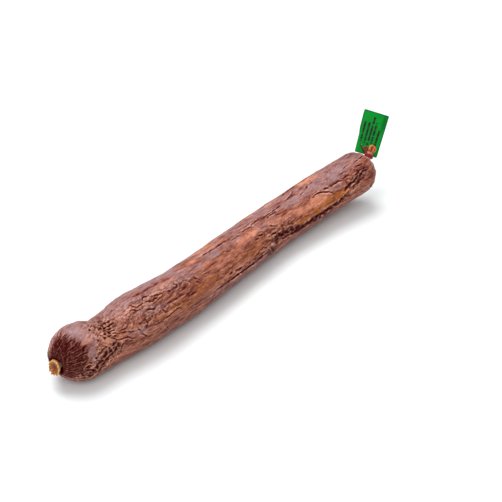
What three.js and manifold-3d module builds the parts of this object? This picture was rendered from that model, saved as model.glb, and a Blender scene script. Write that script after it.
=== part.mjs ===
// A whole cured pork loin in its natural casing, lying on a table.
//
// The loin lies along +X with +Z up. Its near end (-X) is a blunt head whose casing is gathered,
// tied and left as a small rosette. Its far end (+X) narrows to a tied neck with a short tuft of
// casing, and a stiff tag hangs on the tie. All lengths are in millimetres.

import * as THREE from 'three';
import { mergeVertices } from 'three/addons/utils/BufferGeometryUtils.js';
import Module from 'manifold-3d';

// ---- The loin ----
const BODY_LENGTH = 556;
const GIRTH = [ // distance from the head's pole, half-width
  [0, 29.2],
  [30, 30.7],
  [62, 29.2],
  [108, 32],
  [170, 31.1],
  [240, 30.4],
  [400, 29.4],
  [500, 29.8],
  [BODY_LENGTH, 29.4],
];
const SWAY = [ // distance from the head's pole, sideways offset of the middle
  [0, 5.5],
  [40, 3],
  [90, -2.3],
  [187, -4.4],
  [280, 1.2],
  [373, 5.6],
  [470, 0.2],
  [BODY_LENGTH, -14],
];
const SQUASH = 0.97; // height of a section over its width
const PRESS = 1.3; // how deep the underside is pressed flat by lying on the table
const HEAD_LIFT = { height: 3.4, reach: 90 }; // the stiff ends curve off the table
const FAR_LIFT = { height: 20, reach: 211 };
const HEAD_CAP = { reach: 29, power: 2 };
const SHOULDER_CAP = { reach: 26, power: 2.2 };
const DIMPLE_RADIUS = 9;
const DIMPLE_DEPTH = 7.5;
const POLE_DROP = 2.4; // how far the head's pole sits below the middle of the head
const POLE_DROP_REACH = 30;
const THREE_LOBES = 0.014; // relative height of the shallow lobes round a section
const FIVE_LOBES = 0.008;
const LOBE_TWIST = 110; // length over which the lobes turn by one radian
const BODY_SEGMENTS = 32;
const BODY_STEPS = 30;
const CAP_STEPS = 8;

// ---- Gathered casing and twine at the two ends ----
const GAP = 0.3; // clearance between pieces that touch
const NECK_SEGMENTS = 16;
const NEAR_NECK_RADIUS = 3.2;
const NECK_ROOT = 12; // how deep the near neck starts inside the head
const NEAR_TILT = THREE.MathUtils.degToRad(6);
const ROSETTE_RADIUS = 7.2;
const ROSETTE_FACE = 2.2; // how far the rosette's rim stands out from the head's pole
const NEAR_TWINE = 1.4;
const NEAR_WINDING_MIDDLE = -4.4; // distances outwards from the head's pole, so this one is sunk
const NEAR_END = 1.2; // thickness of the twine's cut end
const FAR_NECK_RADIUS = 3.8;
const FAR_NECK_BASE = new THREE.Vector3(546, -12, 44.5);
const FAR_NECK_RISE = THREE.MathUtils.degToRad(43);
const TUFT_RADIUS = 4.2;
const TUFT_START = 27;
const TUFT_END = 38;
const FAR_TWINE = 2.2;
const FAR_WINDING_MIDDLE = 22.5; // distance along the far neck
const LOOP_RADIUS = 2.6;
const LOOP_TWINE = 2.4;
const LOOP_CENTRE = new THREE.Vector3(566.4, -3.8, 67.2);

// ---- The tag and its thread ----
const TAG_WIDTH = 34.5;
const TAG_LENGTH = 61;
const TAG_THICKNESS = 0.8;
const TAG_CORNER = 1.2;
const TAG_HOLE_RADIUS = 2.2;
const TAG_HOLE = new THREE.Vector2(-10, 11.7); // across and up from the middle of the lower edge
const TAG_FOOT = new THREE.Vector3(566.4, -2.9, 58); // middle of the lower edge
const TAG_TURN = THREE.MathUtils.degToRad(-51);
const TAG_LEAN = THREE.MathUtils.degToRad(-32);
const TAG_ROLL = THREE.MathUtils.degToRad(17.1);
const TAG_FACING = new THREE.Euler(TAG_LEAN, TAG_ROLL, TAG_TURN, 'ZXY');
const THREAD = 1.1;

const FINISH = {
  casing: { color: 0x83463a, roughness: 0.42, metalness: 0 },
  twine: { color: 0x8a1b2a, roughness: 0.8, metalness: 0 },
  paleTwine: { color: 0x8c8478, roughness: 0.85, metalness: 0 },
  tag: { color: 0x0c7e30, roughness: 0.35, metalness: 0 },
  thread: { color: 0x3a1512, roughness: 0.8, metalness: 0 },
};

const wasm = await Module();
wasm.setup();

/** Smooth value at x of a curve through [x, y] stations, with the slopes of the neighbouring chords. */
function through(stations, x) {
  const last = stations.length - 1;
  const slope = (k) => {
    const before = stations[Math.max(k - 1, 0)];
    const after = stations[Math.min(k + 1, last)];
    return (after[1] - before[1]) / (after[0] - before[0]);
  };
  let i = 0;
  while (i < last - 1 && x > stations[i + 1][0]) i += 1;
  const [x0, y0] = stations[i];
  const [x1, y1] = stations[i + 1];
  const width = x1 - x0;
  const t = THREE.MathUtils.clamp((x - x0) / width, 0, 1);
  const ends = y0 * (1 + 2 * t) * (1 - t) ** 2 + y1 * t * t * (3 - 2 * t);
  return ends + width * t * (1 - t) * (slope(i) * (1 - t) - slope(i + 1) * t);
}

/** How full a rounded end is at a distance from its pole: 0 at the pole, 1 from reach on. */
function fullness(distance, { reach, power }) {
  const left = THREE.MathUtils.clamp(1 - distance / reach, 0, 1);
  return (1 - left ** power) ** (1 / power);
}

/** Half-width of the loin at a distance from the head's pole. */
function bodyRadius(x) {
  return through(GIRTH, x) * fullness(x, HEAD_CAP) * fullness(BODY_LENGTH - x, SHOULDER_CAP);
}

/** Height of a section's middle over the table. */
function middleHeight(x) {
  const rise = ({ height, reach }, distance) => height * Math.max(0, 1 - distance / reach) ** 2;
  const lift = rise(HEAD_LIFT, x) + rise(FAR_LIFT, BODY_LENGTH - x);
  const drop = POLE_DROP * Math.max(0, 1 - x / POLE_DROP_REACH) ** 2;
  return SQUASH * through(GIRTH, x) - PRESS + lift - drop;
}

/** Shallow lobes round a section, as a factor on its radius, turning slowly along the loin. */
function lobes(angle, x) {
  const turn = x / LOBE_TWIST;
  return 1 + THREE_LOBES * Math.cos(3 * angle + turn) + FIVE_LOBES * Math.cos(5 * angle - turn);
}

/** A lathe round its own +Y axis from [radius, distance] points that start and end on the axis. */
function lathe(points, segments) {
  const profile = points.map(([radius, along]) => new THREE.Vector2(radius, along));
  return new THREE.LatheGeometry(profile, segments);
}

/** Turns a lathe made along +Y into one along +X that starts at the origin. */
const ALONG_X = new THREE.Matrix4().makeRotationZ(-Math.PI / 2);

/** Places a piece built along +X: base point, then the rise of its axis above level. */
function onAxis(geometry, base, rise) {
  const tilt = new THREE.Matrix4().makeRotationY(-rise);
  return geometry.applyMatrix4(tilt).translate(...base);
}

/** The manifold solid of a closed geometry. */
function solid(geometry) {
  const bare = geometry.clone();
  bare.deleteAttribute('normal');
  bare.deleteAttribute('uv');
  const merged = mergeVertices(bare, 1e-4);
  return new wasm.Manifold(new wasm.Mesh({
    numProp: 3,
    vertProperties: new Float32Array(merged.attributes.position.array),
    triVerts: new Uint32Array(merged.index.array),
  }));
}

function geometryOf(manifold) {
  const mesh = manifold.getMesh();
  const geometry = new THREE.BufferGeometry();
  geometry.setAttribute('position', new THREE.BufferAttribute(new Float32Array(mesh.vertProperties), 3));
  geometry.setIndex(new THREE.BufferAttribute(new Uint32Array(mesh.triVerts), 1));
  geometry.computeVertexNormals();
  return geometry;
}

/** A round cord with flat ends along a curve through the given points. */
function cord(points, diameter, steps, sides) {
  const section = new THREE.Shape();
  section.absarc(0, 0, diameter / 2, 0, 2 * Math.PI);
  const path = new THREE.CatmullRomCurve3(points, false, 'centripetal');
  return new THREE.ExtrudeGeometry(section, {
    extrudePath: path, steps, curveSegments: sides, bevelEnabled: false,
  });
}

// ---- The loin: body, gathered necks, rosette and tuft, one closed solid ----

/** The body's outline from pole to pole, with the dimple that the near neck sits in. */
function bodyProfile() {
  const points = [
    [0, DIMPLE_DEPTH],
    [0.6 * DIMPLE_RADIUS, 0.92 * DIMPLE_DEPTH],
    [DIMPLE_RADIUS, 0.42 * DIMPLE_DEPTH],
  ];
  const nearerThePole = (i) => 1 - Math.cos((i / CAP_STEPS) * (Math.PI / 2));
  for (let i = 2; i < CAP_STEPS; i += 1) {
    const x = HEAD_CAP.reach * nearerThePole(i);
    points.push([bodyRadius(x), x]);
  }
  const middle = BODY_LENGTH - HEAD_CAP.reach - SHOULDER_CAP.reach;
  for (let i = 0; i <= BODY_STEPS; i += 1) {
    const x = HEAD_CAP.reach + (middle * i) / BODY_STEPS;
    points.push([bodyRadius(x), x]);
  }
  for (let i = CAP_STEPS - 1; i > 0; i -= 1) {
    const x = BODY_LENGTH - SHOULDER_CAP.reach * nearerThePole(i);
    points.push([bodyRadius(x), x]);
  }
  points.push([0, BODY_LENGTH]);
  return points;
}

/** The body's sections are set on the loin's own bowed axis, lobed, and pressed flat on the table. */
function loinBody() {
  const geometry = lathe(bodyProfile(), BODY_SEGMENTS).applyMatrix4(ALONG_X);
  const position = geometry.attributes.position;
  for (let i = 0; i < position.count; i += 1) {
    const x = position.getX(i);
    const angle = Math.atan2(position.getZ(i), position.getY(i));
    const radius = Math.hypot(position.getY(i), position.getZ(i)) * lobes(angle, x);
    const y = through(SWAY, x) + radius * Math.cos(angle);
    const z = middleHeight(x) + SQUASH * radius * Math.sin(angle);
    position.setXYZ(i, x, y, Math.max(0, z));
  }
  return geometry;
}

/** Where the near neck leaves the head. */
function headPole() {
  return new THREE.Vector3(0, through(SWAY, 0), middleHeight(0));
}

/** Neck and rosette, whose distances are measured outwards from the head's pole. */
function nearNeck() {
  const r = NEAR_NECK_RADIUS;
  const face = ROSETTE_FACE;
  const points = [
    [0, -NECK_ROOT],
    [r, -NECK_ROOT],
    [r, face - 5],
    [0.92 * ROSETTE_RADIUS, face - 3.2],
    [ROSETTE_RADIUS, face - 1.4],
    [0.86 * ROSETTE_RADIUS, face],
    [0.4 * ROSETTE_RADIUS, face - 1.2],
    [0, face - 1.6],
  ];
  return outwardsFromHead(lathe(points, NECK_SEGMENTS));
}

/** Places a piece whose +Y runs outwards from the head's pole. */
function outwardsFromHead(geometry) {
  return onAxis(geometry.applyMatrix4(ALONG_X), headPole(), Math.PI + NEAR_TILT);
}

/** Neck and tuft, whose distances are measured from the far neck's base inside the shoulder. */
function farNeck() {
  const r = FAR_NECK_RADIUS;
  const points = [
    [0, 0],
    [14, 0],
    [12, 5],
    [8.4, 10],
    [5.6, 14.5],
    [r, 18.5],
    [r, TUFT_START],
    [TUFT_RADIUS, TUFT_START + 3],
    [TUFT_RADIUS, TUFT_END - 1.5],
    [TUFT_RADIUS * 0.6, TUFT_END],
    [0, TUFT_END - 1],
  ];
  return alongFarNeck(lathe(points, NECK_SEGMENTS));
}

/** Places a piece whose +Y runs along the far neck. */
function alongFarNeck(geometry) {
  return onAxis(geometry.applyMatrix4(ALONG_X), FAR_NECK_BASE, FAR_NECK_RISE);
}

function loin() {
  return geometryOf(solid(loinBody()).add(solid(nearNeck())).add(solid(farNeck())));
}

// ---- Twine ----

/** Two turns of twine side by side round a neck, as one ring, with its middle at a distance along it. */
function winding(neckRadius, twine, middle) {
  const inner = neckRadius + GAP;
  const first = [[inner, -0.8], [inner + 0.6 * twine, -0.94], [inner + twine, -0.65], [inner + twine, -0.35],
    [inner + 0.6 * twine, -0.06]];
  const second = first.map(([radius, along]) => [radius, -along]).reverse();
  const points = [...first, ...second, first[0]].map(([radius, along]) => [radius, middle + along * twine]);
  return lathe(points, NECK_SEGMENTS);
}

/** The sunk near winding, with the twine's cut end showing below the rosette. */
function nearTie() {
  const ring = outwardsFromHead(winding(NEAR_NECK_RADIUS, NEAR_TWINE, NEAR_WINDING_MIDDLE));
  const start = [NEAR_WINDING_MIDDLE, NEAR_NECK_RADIUS + GAP + NEAR_TWINE / 2];
  const places = [start, [-2.2, 6.9], [0.2, 8.3], [2.4, 8.9]]; // outwards from the pole, down
  const points = places.map(([outwards, down]) => new THREE.Vector3(0, outwards, down));
  return geometryOf(solid(ring).add(solid(outwardsFromHead(cord(points, NEAR_END, 6, 2)))));
}

/** A point on the axis of the far neck. */
function onFarNeck(along) {
  const direction = new THREE.Vector3(Math.cos(FAR_NECK_RISE), 0, Math.sin(FAR_NECK_RISE));
  return FAR_NECK_BASE.clone().addScaledVector(direction, along);
}

/** The far winding, with the small standing loop of the same twine knotted to it. */
function farTie() {
  const ring = alongFarNeck(winding(FAR_NECK_RADIUS, FAR_TWINE, FAR_WINDING_MIDDLE));
  const loop = new THREE.TorusGeometry(LOOP_RADIUS, LOOP_TWINE / 2, 8, 18);
  loop.rotateX(Math.PI / 2);
  loop.applyMatrix4(new THREE.Matrix4().makeRotationFromEuler(TAG_FACING));
  loop.translate(...LOOP_CENTRE);
  const foot = onFarNeck(FAR_WINDING_MIDDLE);
  foot.y += FAR_NECK_RADIUS + GAP + FAR_TWINE / 2;
  const top = LOOP_CENTRE.clone().lerp(foot, LOOP_RADIUS / LOOP_CENTRE.distanceTo(foot));
  const knot = cord([foot, foot.clone().lerp(top, 0.5), top], LOOP_TWINE, 3, 4);
  return geometryOf(solid(ring).add(solid(loop)).add(solid(knot)));
}

// ---- Tag ----

/** The tag stands in its own plane: width along X, length along Z, front towards -Y. */
function tag() {
  const right = TAG_WIDTH / 2 - TAG_CORNER;
  const high = TAG_LENGTH - TAG_CORNER;
  const outline = new THREE.Shape();
  const corners = [[right, TAG_CORNER], [right, high], [-right, high], [-right, TAG_CORNER]];
  corners.forEach(([x, z], turn) => {
    const from = (turn - 1) * (Math.PI / 2);
    outline.absarc(x, z, TAG_CORNER, from, from + Math.PI / 2);
  });
  const hole = new THREE.Path();
  hole.absarc(TAG_HOLE.x, TAG_HOLE.y, TAG_HOLE_RADIUS, 0, 2 * Math.PI, true);
  outline.holes.push(hole);
  const options = { depth: TAG_THICKNESS, curveSegments: 4, bevelEnabled: false };
  return new THREE.ExtrudeGeometry(outline, options).rotateX(Math.PI / 2);
}

/** A thread from behind the tag, through its hole and down behind the loop to the back of the winding. */
function tagThread() {
  const places = [ // from the tag's foot: across, towards its back, up
    [-10.4, 1.5, 14],
    [-10.1, 0.8, 12.2],
    [-9.8, -0.5, 11.3],
    [-9, -1.6, 10],
    [-6.6, -1.65, 7],
    [-3.4, -1.65, 3.4],
    [0.4, -1.65, -0.8],
  ];
  const points = places.map(([across, back, up]) => new THREE.Vector3(across, back, up));
  return cord(points, THREAD, 14, 2);
}

function named(name, geometry, finish) {
  const mesh = new THREE.Mesh(geometry, new THREE.MeshStandardMaterial(finish));
  mesh.name = name;
  return mesh;
}

const tagGroup = new THREE.Group();
tagGroup.add(named('tag', tag(), FINISH.tag), named('tag_thread', tagThread(), FINISH.thread));
tagGroup.position.copy(TAG_FOOT);
tagGroup.rotation.copy(TAG_FACING);

const group = new THREE.Group();
group.add(named('cured_loin', loin(), FINISH.casing));
group.add(named('near_tie', nearTie(), FINISH.paleTwine));
group.add(named('far_tie', farTie(), FINISH.twine));
group.add(tagGroup);

// The origin is the middle of the whole part's footprint, on the table.
const bounds = new THREE.Box3().setFromObject(group, true);
group.position.set(-(bounds.min.x + bounds.max.x) / 2, -(bounds.min.y + bounds.max.y) / 2, -bounds.min.z);
group.updateMatrixWorld(true);

export default group;
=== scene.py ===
"""A whole cured pork loin in its natural casing, dressed around its fixed frame.

The loin lies along +X on a table. Its head (-X) is a blunt dome whose casing is pleated into a
small rosette. Its far end (+X) narrows to a tied neck with a tuft of casing and a standing tag.
Shapes are worked out in millimetres, with x counted from the head's pole, angles round the loin
counted in degrees from +Y over the top, and then written in metres into the frame's place.
"""

import itertools
import logging
import math
from dataclasses import dataclass, field
from enum import Enum

import bpy
import numpy as np
from mathutils import Matrix, Vector


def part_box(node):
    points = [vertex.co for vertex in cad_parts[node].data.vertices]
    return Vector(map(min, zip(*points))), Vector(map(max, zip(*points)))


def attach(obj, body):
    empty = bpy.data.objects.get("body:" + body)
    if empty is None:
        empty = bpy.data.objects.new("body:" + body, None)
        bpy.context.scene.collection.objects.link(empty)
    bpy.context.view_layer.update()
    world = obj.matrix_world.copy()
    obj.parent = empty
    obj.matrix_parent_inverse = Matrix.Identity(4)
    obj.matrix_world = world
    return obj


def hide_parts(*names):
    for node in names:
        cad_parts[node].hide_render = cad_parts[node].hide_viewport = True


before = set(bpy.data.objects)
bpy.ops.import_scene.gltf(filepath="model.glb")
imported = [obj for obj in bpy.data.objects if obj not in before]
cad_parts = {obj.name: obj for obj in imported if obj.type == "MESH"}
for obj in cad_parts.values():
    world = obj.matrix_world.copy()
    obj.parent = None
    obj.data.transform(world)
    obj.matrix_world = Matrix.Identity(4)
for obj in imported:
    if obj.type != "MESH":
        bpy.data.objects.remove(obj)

log = logging.getLogger("cured_loin")

MM = 0.001
BODY = "root"
Stations = tuple[tuple[float, float], ...]
Colour = tuple[float, float, float]


# ---- Plain mathematics ----


def clamp01(value: np.ndarray) -> np.ndarray:
    """The value held between 0 and 1."""
    return np.clip(value, 0.0, 1.0)


def smooth(value: np.ndarray) -> np.ndarray:
    """A soft step: 0 below 0, 1 above 1, with level ends."""
    t = clamp01(value)
    return t * t * (3 - 2 * t)


def through(stations: Stations, x: np.ndarray) -> np.ndarray:
    """A smooth curve through stations, with the slopes of the neighbouring chords.

    Args:
        stations: Pairs of place and value, in rising order of place.
        x: Places to read the curve at. Beyond the ends the value stays.

    Returns:
        The curve's values at x.
    """
    places = np.array([place for place, _ in stations], float)
    values = np.array([value for _, value in stations], float)
    last = len(stations) - 1
    before = np.maximum(np.arange(last + 1) - 1, 0)
    after = np.minimum(np.arange(last + 1) + 1, last)
    slopes = (values[after] - values[before]) / (places[after] - places[before])
    i = np.clip(np.searchsorted(places, x, side="left") - 1, 0, last - 1)
    width = places[i + 1] - places[i]
    t = clamp01((x - places[i]) / width)
    ends = values[i] * (1 + 2 * t) * (1 - t) ** 2 + values[i + 1] * t * t * (3 - 2 * t)
    return ends + width * t * (1 - t) * (slopes[i] * (1 - t) - slopes[i + 1] * t)


def hump(distance: np.ndarray, reach: float) -> np.ndarray:
    """A bell: 1 at distance 0, and almost nothing from twice its reach on."""
    return np.exp(-((distance / reach) ** 2))


def fullness(distance: np.ndarray, reach: float, power: float) -> np.ndarray:
    """How full a rounded end is at a distance from its pole: 0 at the pole, 1 from reach on."""
    left = clamp01(1 - distance / reach)
    return (1 - left**power) ** (1 / power)


def shuffled(order: np.ndarray, cell: np.ndarray, step: tuple[int, ...]) -> np.ndarray:
    """The shuffled number of each lattice cell, or of a neighbour of it.

    Args:
        order: The numbers 0 to 255, shuffled.
        cell: The cells' places, whose last axis is x, y, z.
        step: How many cells away the neighbour is along each axis.

    Returns:
        A number from 0 to 255 for each cell.
    """
    key = np.zeros(cell.shape[:-1], int)
    for axis in range(3):
        key = order[(key + cell[..., axis] + step[axis]) & 255]
    return key


@dataclass
class GradientNoise:
    """Smooth noise in space, from about -1 to 1, the same for the same seed."""

    seed: int

    def __post_init__(self) -> None:
        """Draws the lattice of slopes."""
        draw = np.random.default_rng(self.seed)
        self.order = draw.permutation(256)
        slopes = draw.normal(size=(256, 3))
        self.slopes = slopes / np.linalg.norm(slopes, axis=1)[:, None]

    def at(self, points: np.ndarray) -> np.ndarray:
        """Reads the noise.

        Args:
            points: An array whose last axis is x, y, z, in lattice cells.

        Returns:
            One value for each point.
        """
        cell = np.floor(points).astype(int)
        inside = points - cell
        ease = inside**3 * (inside * (inside * 6 - 15) + 10)
        total = np.zeros(points.shape[:-1])
        for corner in itertools.product((0, 1), repeat=3):
            weight = np.where(corner, ease, 1 - ease).prod(-1)
            slope = self.slopes[shuffled(self.order, cell, corner)]
            total += weight * ((inside - np.array(corner)) * slope).sum(-1)
        return 1.6 * total

    def layered(self, points: np.ndarray, layers: int = 3) -> np.ndarray:
        """The noise with finer and weaker layers on top.

        Args:
            points: Where to read it.
            layers: How many layers, each twice as fine as the one before.

        Returns:
            One value for each point.
        """
        return sum(0.5**k * self.at(points * 2**k + 17.3 * k) for k in range(layers))


@dataclass
class CrackNoise:
    """Cracks between scattered cells, as in dried skin."""

    seed: int

    def __post_init__(self) -> None:
        """Draws the cells' middles."""
        draw = np.random.default_rng(self.seed)
        self.order = draw.permutation(256)
        self.middles = draw.random((256, 3))

    def at(self, points: np.ndarray) -> np.ndarray:
        """How far each point is from the nearest crack.

        Args:
            points: An array whose last axis is x, y, z, in cells.

        Returns:
            The difference of the distances to the two nearest middles: 0 on a crack.
        """
        cell = np.floor(points).astype(int)
        nearest = np.full(points.shape[:-1], 9.0)
        second = nearest.copy()
        for step in itertools.product((-1, 0, 1), repeat=3):
            middle = cell + np.array(step) + self.middles[shuffled(self.order, cell, step)]
            distance = np.linalg.norm(points - middle, axis=-1)
            second = np.minimum(second, np.maximum(nearest, distance))
            nearest = np.minimum(nearest, distance)
        return second - nearest


# ---- Meshes ----


def skin(name: str, rings: np.ndarray) -> bpy.types.Mesh:
    """A closed surface over rings of points, closed at each end by the last ring's middle.

    Args:
        name: The mesh's name.
        rings: Points in millimetres, as ring, place round the ring, then x, y, z. Seen from the
            last ring, the places run anticlockwise when x points at the eye.

    Returns:
        The mesh, in metres. Its vertices are the rings' points in order, then the two middles.
    """
    rows, columns = rings.shape[:2]
    middles = rings[[0, -1]].mean(axis=1)
    points = np.vstack([rings.reshape(-1, 3), middles]) * MM
    index = np.arange(rows * columns).reshape(rows, columns)
    beside = np.roll(index, -1, axis=1)
    quads = np.stack([index[:-1], beside[:-1], beside[1:], index[1:]], axis=-1).reshape(-1, 4)
    first, last = rows * columns, rows * columns + 1
    caps = [(first, int(b), int(a)) for a, b in zip(index[0], beside[0])]
    caps += [(last, int(a), int(b)) for a, b in zip(index[-1], beside[-1])]
    mesh = bpy.data.meshes.new(name)
    mesh.from_pydata(points.tolist(), [], quads.tolist() + caps)
    mesh.shade_smooth()
    return mesh


def paint(mesh: bpy.types.Mesh, name: str, values: np.ndarray) -> None:
    """Writes one number for each vertex into a named attribute that a material can read.

    Args:
        mesh: The mesh to write on.
        name: The attribute's name.
        values: One value for each vertex.
    """
    attribute = mesh.attributes.new(name, "FLOAT", "POINT")
    attribute.data.foreach_set("value", values.astype(np.float32))


def in_scene(name: str, data: bpy.types.ID) -> bpy.types.Object:
    """A new object of a mesh, a light or a camera, in the scene."""
    made = bpy.data.objects.new(name, data)
    bpy.context.scene.collection.objects.link(made)
    return made


def settle(
    name: str,
    mesh: bpy.types.Mesh,
    material: bpy.types.Material | None,
    replaces: tuple[str, ...] = (),
) -> bpy.types.Object:
    """Makes a finished piece of a mesh and ties it to the frame.

    Args:
        name: The piece's name.
        mesh: Its mesh, in metres, in the frame's place.
        material: What it is dressed in, or None if the mesh brings its own.
        replaces: The nodes that it stands for.

    Returns:
        The piece.
    """
    piece = in_scene(name, mesh)
    if material is not None:
        mesh.materials.append(material)
    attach(piece, BODY)
    if replaces:
        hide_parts(*replaces)
    log.info("%s: %d faces", name, len(mesh.polygons))
    return piece


# ---- Node trees ----


@dataclass(frozen=True)
class Wiring:
    """A node tree being wired: makes nodes, sets their sockets and links them."""

    tree: bpy.types.NodeTree

    def node(self, kind: str, inputs: dict | None = None, **settings: object) -> bpy.types.Node:
        """Adds a node.

        Args:
            kind: The node's type name.
            inputs: For each input, by name or number, a socket to link or a value to set.
            settings: The node's own properties.

        Returns:
            The node.
        """
        made = self.tree.nodes.new(kind)
        for key, value in settings.items():
            setattr(made, key, value)
        self.fill(made, inputs or {})
        return made

    def fill(self, node: bpy.types.Node, inputs: dict) -> None:
        """Links or sets some of a node's inputs.

        Args:
            node: The node.
            inputs: For each input, by name or number, a socket to link or a value to set.
        """
        for key, value in inputs.items():
            socket = node.inputs[key]
            if isinstance(value, bpy.types.NodeSocket):
                self.tree.links.new(value, socket)
            elif socket.type == "RGBA" and len(value) == 3:
                socket.default_value = (*value, 1.0)
            else:
                socket.default_value = value

    def mixed(self, share: object, first: object, second: object) -> bpy.types.NodeSocket:
        """A colour between two others: the first where share is 0, the second where it is 1."""
        made = self.node("ShaderNodeMix", {0: share, 6: first, 7: second}, data_type="RGBA")
        return made.outputs[2]

    def blend(self, share: float, first: object, second: object) -> bpy.types.NodeSocket:
        """A number between two others: the first where share is 0, the second where it is 1."""
        return self.node("ShaderNodeMix", {0: share, 2: first, 3: second}).outputs[0]

    def maths(self, operation: str, *values: object, held: bool = False) -> bpy.types.NodeSocket:
        """The result of a Math node on up to three values, held between 0 and 1 if asked."""
        inputs = dict(enumerate(values))
        made = self.node("ShaderNodeMath", inputs, operation=operation, use_clamp=held)
        return made.outputs[0]

    def held(self, operation: str, *values: object) -> bpy.types.NodeSocket:
        """The result of a Math node, held between 0 and 1."""
        return self.maths(operation, *values, held=True)

    def times(self, first: object, second: object) -> bpy.types.NodeSocket:
        """The product of two values, held between 0 and 1."""
        return self.held("MULTIPLY", first, second)

    def rest(self, value: object) -> bpy.types.NodeSocket:
        """What a value leaves of 1."""
        return self.held("SUBTRACT", 1.0, value)

    def stretch(self, value: object, low: float, high: float) -> bpy.types.NodeSocket:
        """A value stretched so that low becomes 0 and high becomes 1, held between them."""
        made = self.node("ShaderNodeMapRange", {"Value": value, "From Min": low, "From Max": high})
        return made.outputs["Result"]

    def ranged(self, value: object, low: float, high: float) -> bpy.types.NodeSocket:
        """A value from 0 to 1 turned into one from low to high."""
        made = self.node("ShaderNodeMapRange", {"Value": value, "To Min": low, "To Max": high})
        return made.outputs["Result"]

    def attribute(self, name: str) -> bpy.types.NodeSocket:
        """The number painted on the mesh under a name."""
        return self.node("ShaderNodeAttribute", attribute_name=name).outputs["Fac"]

    def place(self) -> bpy.types.NodeSocket:
        """The object's own coordinates."""
        return self.node("ShaderNodeTexCoord").outputs["Object"]

    def mapped(
        self, place: object, along: float, turn: float = 0.0, kind: str = "POINT"
    ) -> bpy.types.NodeSocket:
        """A place squeezed along X, for a pattern that is drawn out lengthwise.

        Args:
            place: The socket with the place.
            along: The scale along X.
            turn: How far the place turns about Z, in radians.
            kind: The Mapping node's vector type.

        Returns:
            The mapped place.
        """
        inputs = {"Vector": place, "Rotation": (0.0, 0.0, turn), "Scale": (along, 1.0, 1.0)}
        return self.node("ShaderNodeMapping", inputs, vector_type=kind).outputs[0]

    def noise(
        self, place: object, scale: float, detail: float = 3.0, rough: float = 0.55,
        swirl: float = 0.0,
    ) -> bpy.types.NodeSocket:
        """A noise texture's value.

        Args:
            place: The socket with the place to read it at.
            scale: Cells per metre.
            detail: How many finer layers.
            rough: How strong the finer layers are.
            swirl: How far the cells are stirred.

        Returns:
            The noise, from 0 to 1.
        """
        inputs = {"Vector": place, "Scale": scale, "Detail": detail, "Roughness": rough}
        inputs["Distortion"] = swirl
        return self.node("ShaderNodeTexNoise", inputs).outputs["Fac"]

    def bump(
        self, height: object, distance: float, strength: float, under: object = None
    ) -> bpy.types.NodeSocket:
        """A fine relief.

        Args:
            height: The relief, from 0 to 1.
            distance: How high 1 stands, in metres.
            strength: The share of it that shows.
            under: Another relief to lay it over, or None.

        Returns:
            The surface's direction.
        """
        inputs = {"Strength": strength, "Distance": distance, "Height": height}
        if under is not None:
            inputs["Normal"] = under
        return self.node("ShaderNodeBump", inputs).outputs[0]


def new_group(name: str, takes: dict[str, str], gives: dict[str, str]) -> tuple[
    bpy.types.NodeTree, Wiring, bpy.types.Node, bpy.types.Node
]:
    """A new shader node group with named sockets.

    Args:
        name: The group's name.
        takes: Inputs, as name and socket type.
        gives: Outputs, as name and socket type.

    Returns:
        The group, its wiring, its input node and its output node.
    """
    tree = bpy.data.node_groups.new(name, "ShaderNodeTree")
    for sockets, side in ((takes, "INPUT"), (gives, "OUTPUT")):
        for label, kind in sockets.items():
            tree.interface.new_socket(label, in_out=side, socket_type=kind)
    wiring = Wiring(tree)
    return tree, wiring, wiring.node("NodeGroupInput"), wiring.node("NodeGroupOutput")


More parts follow.
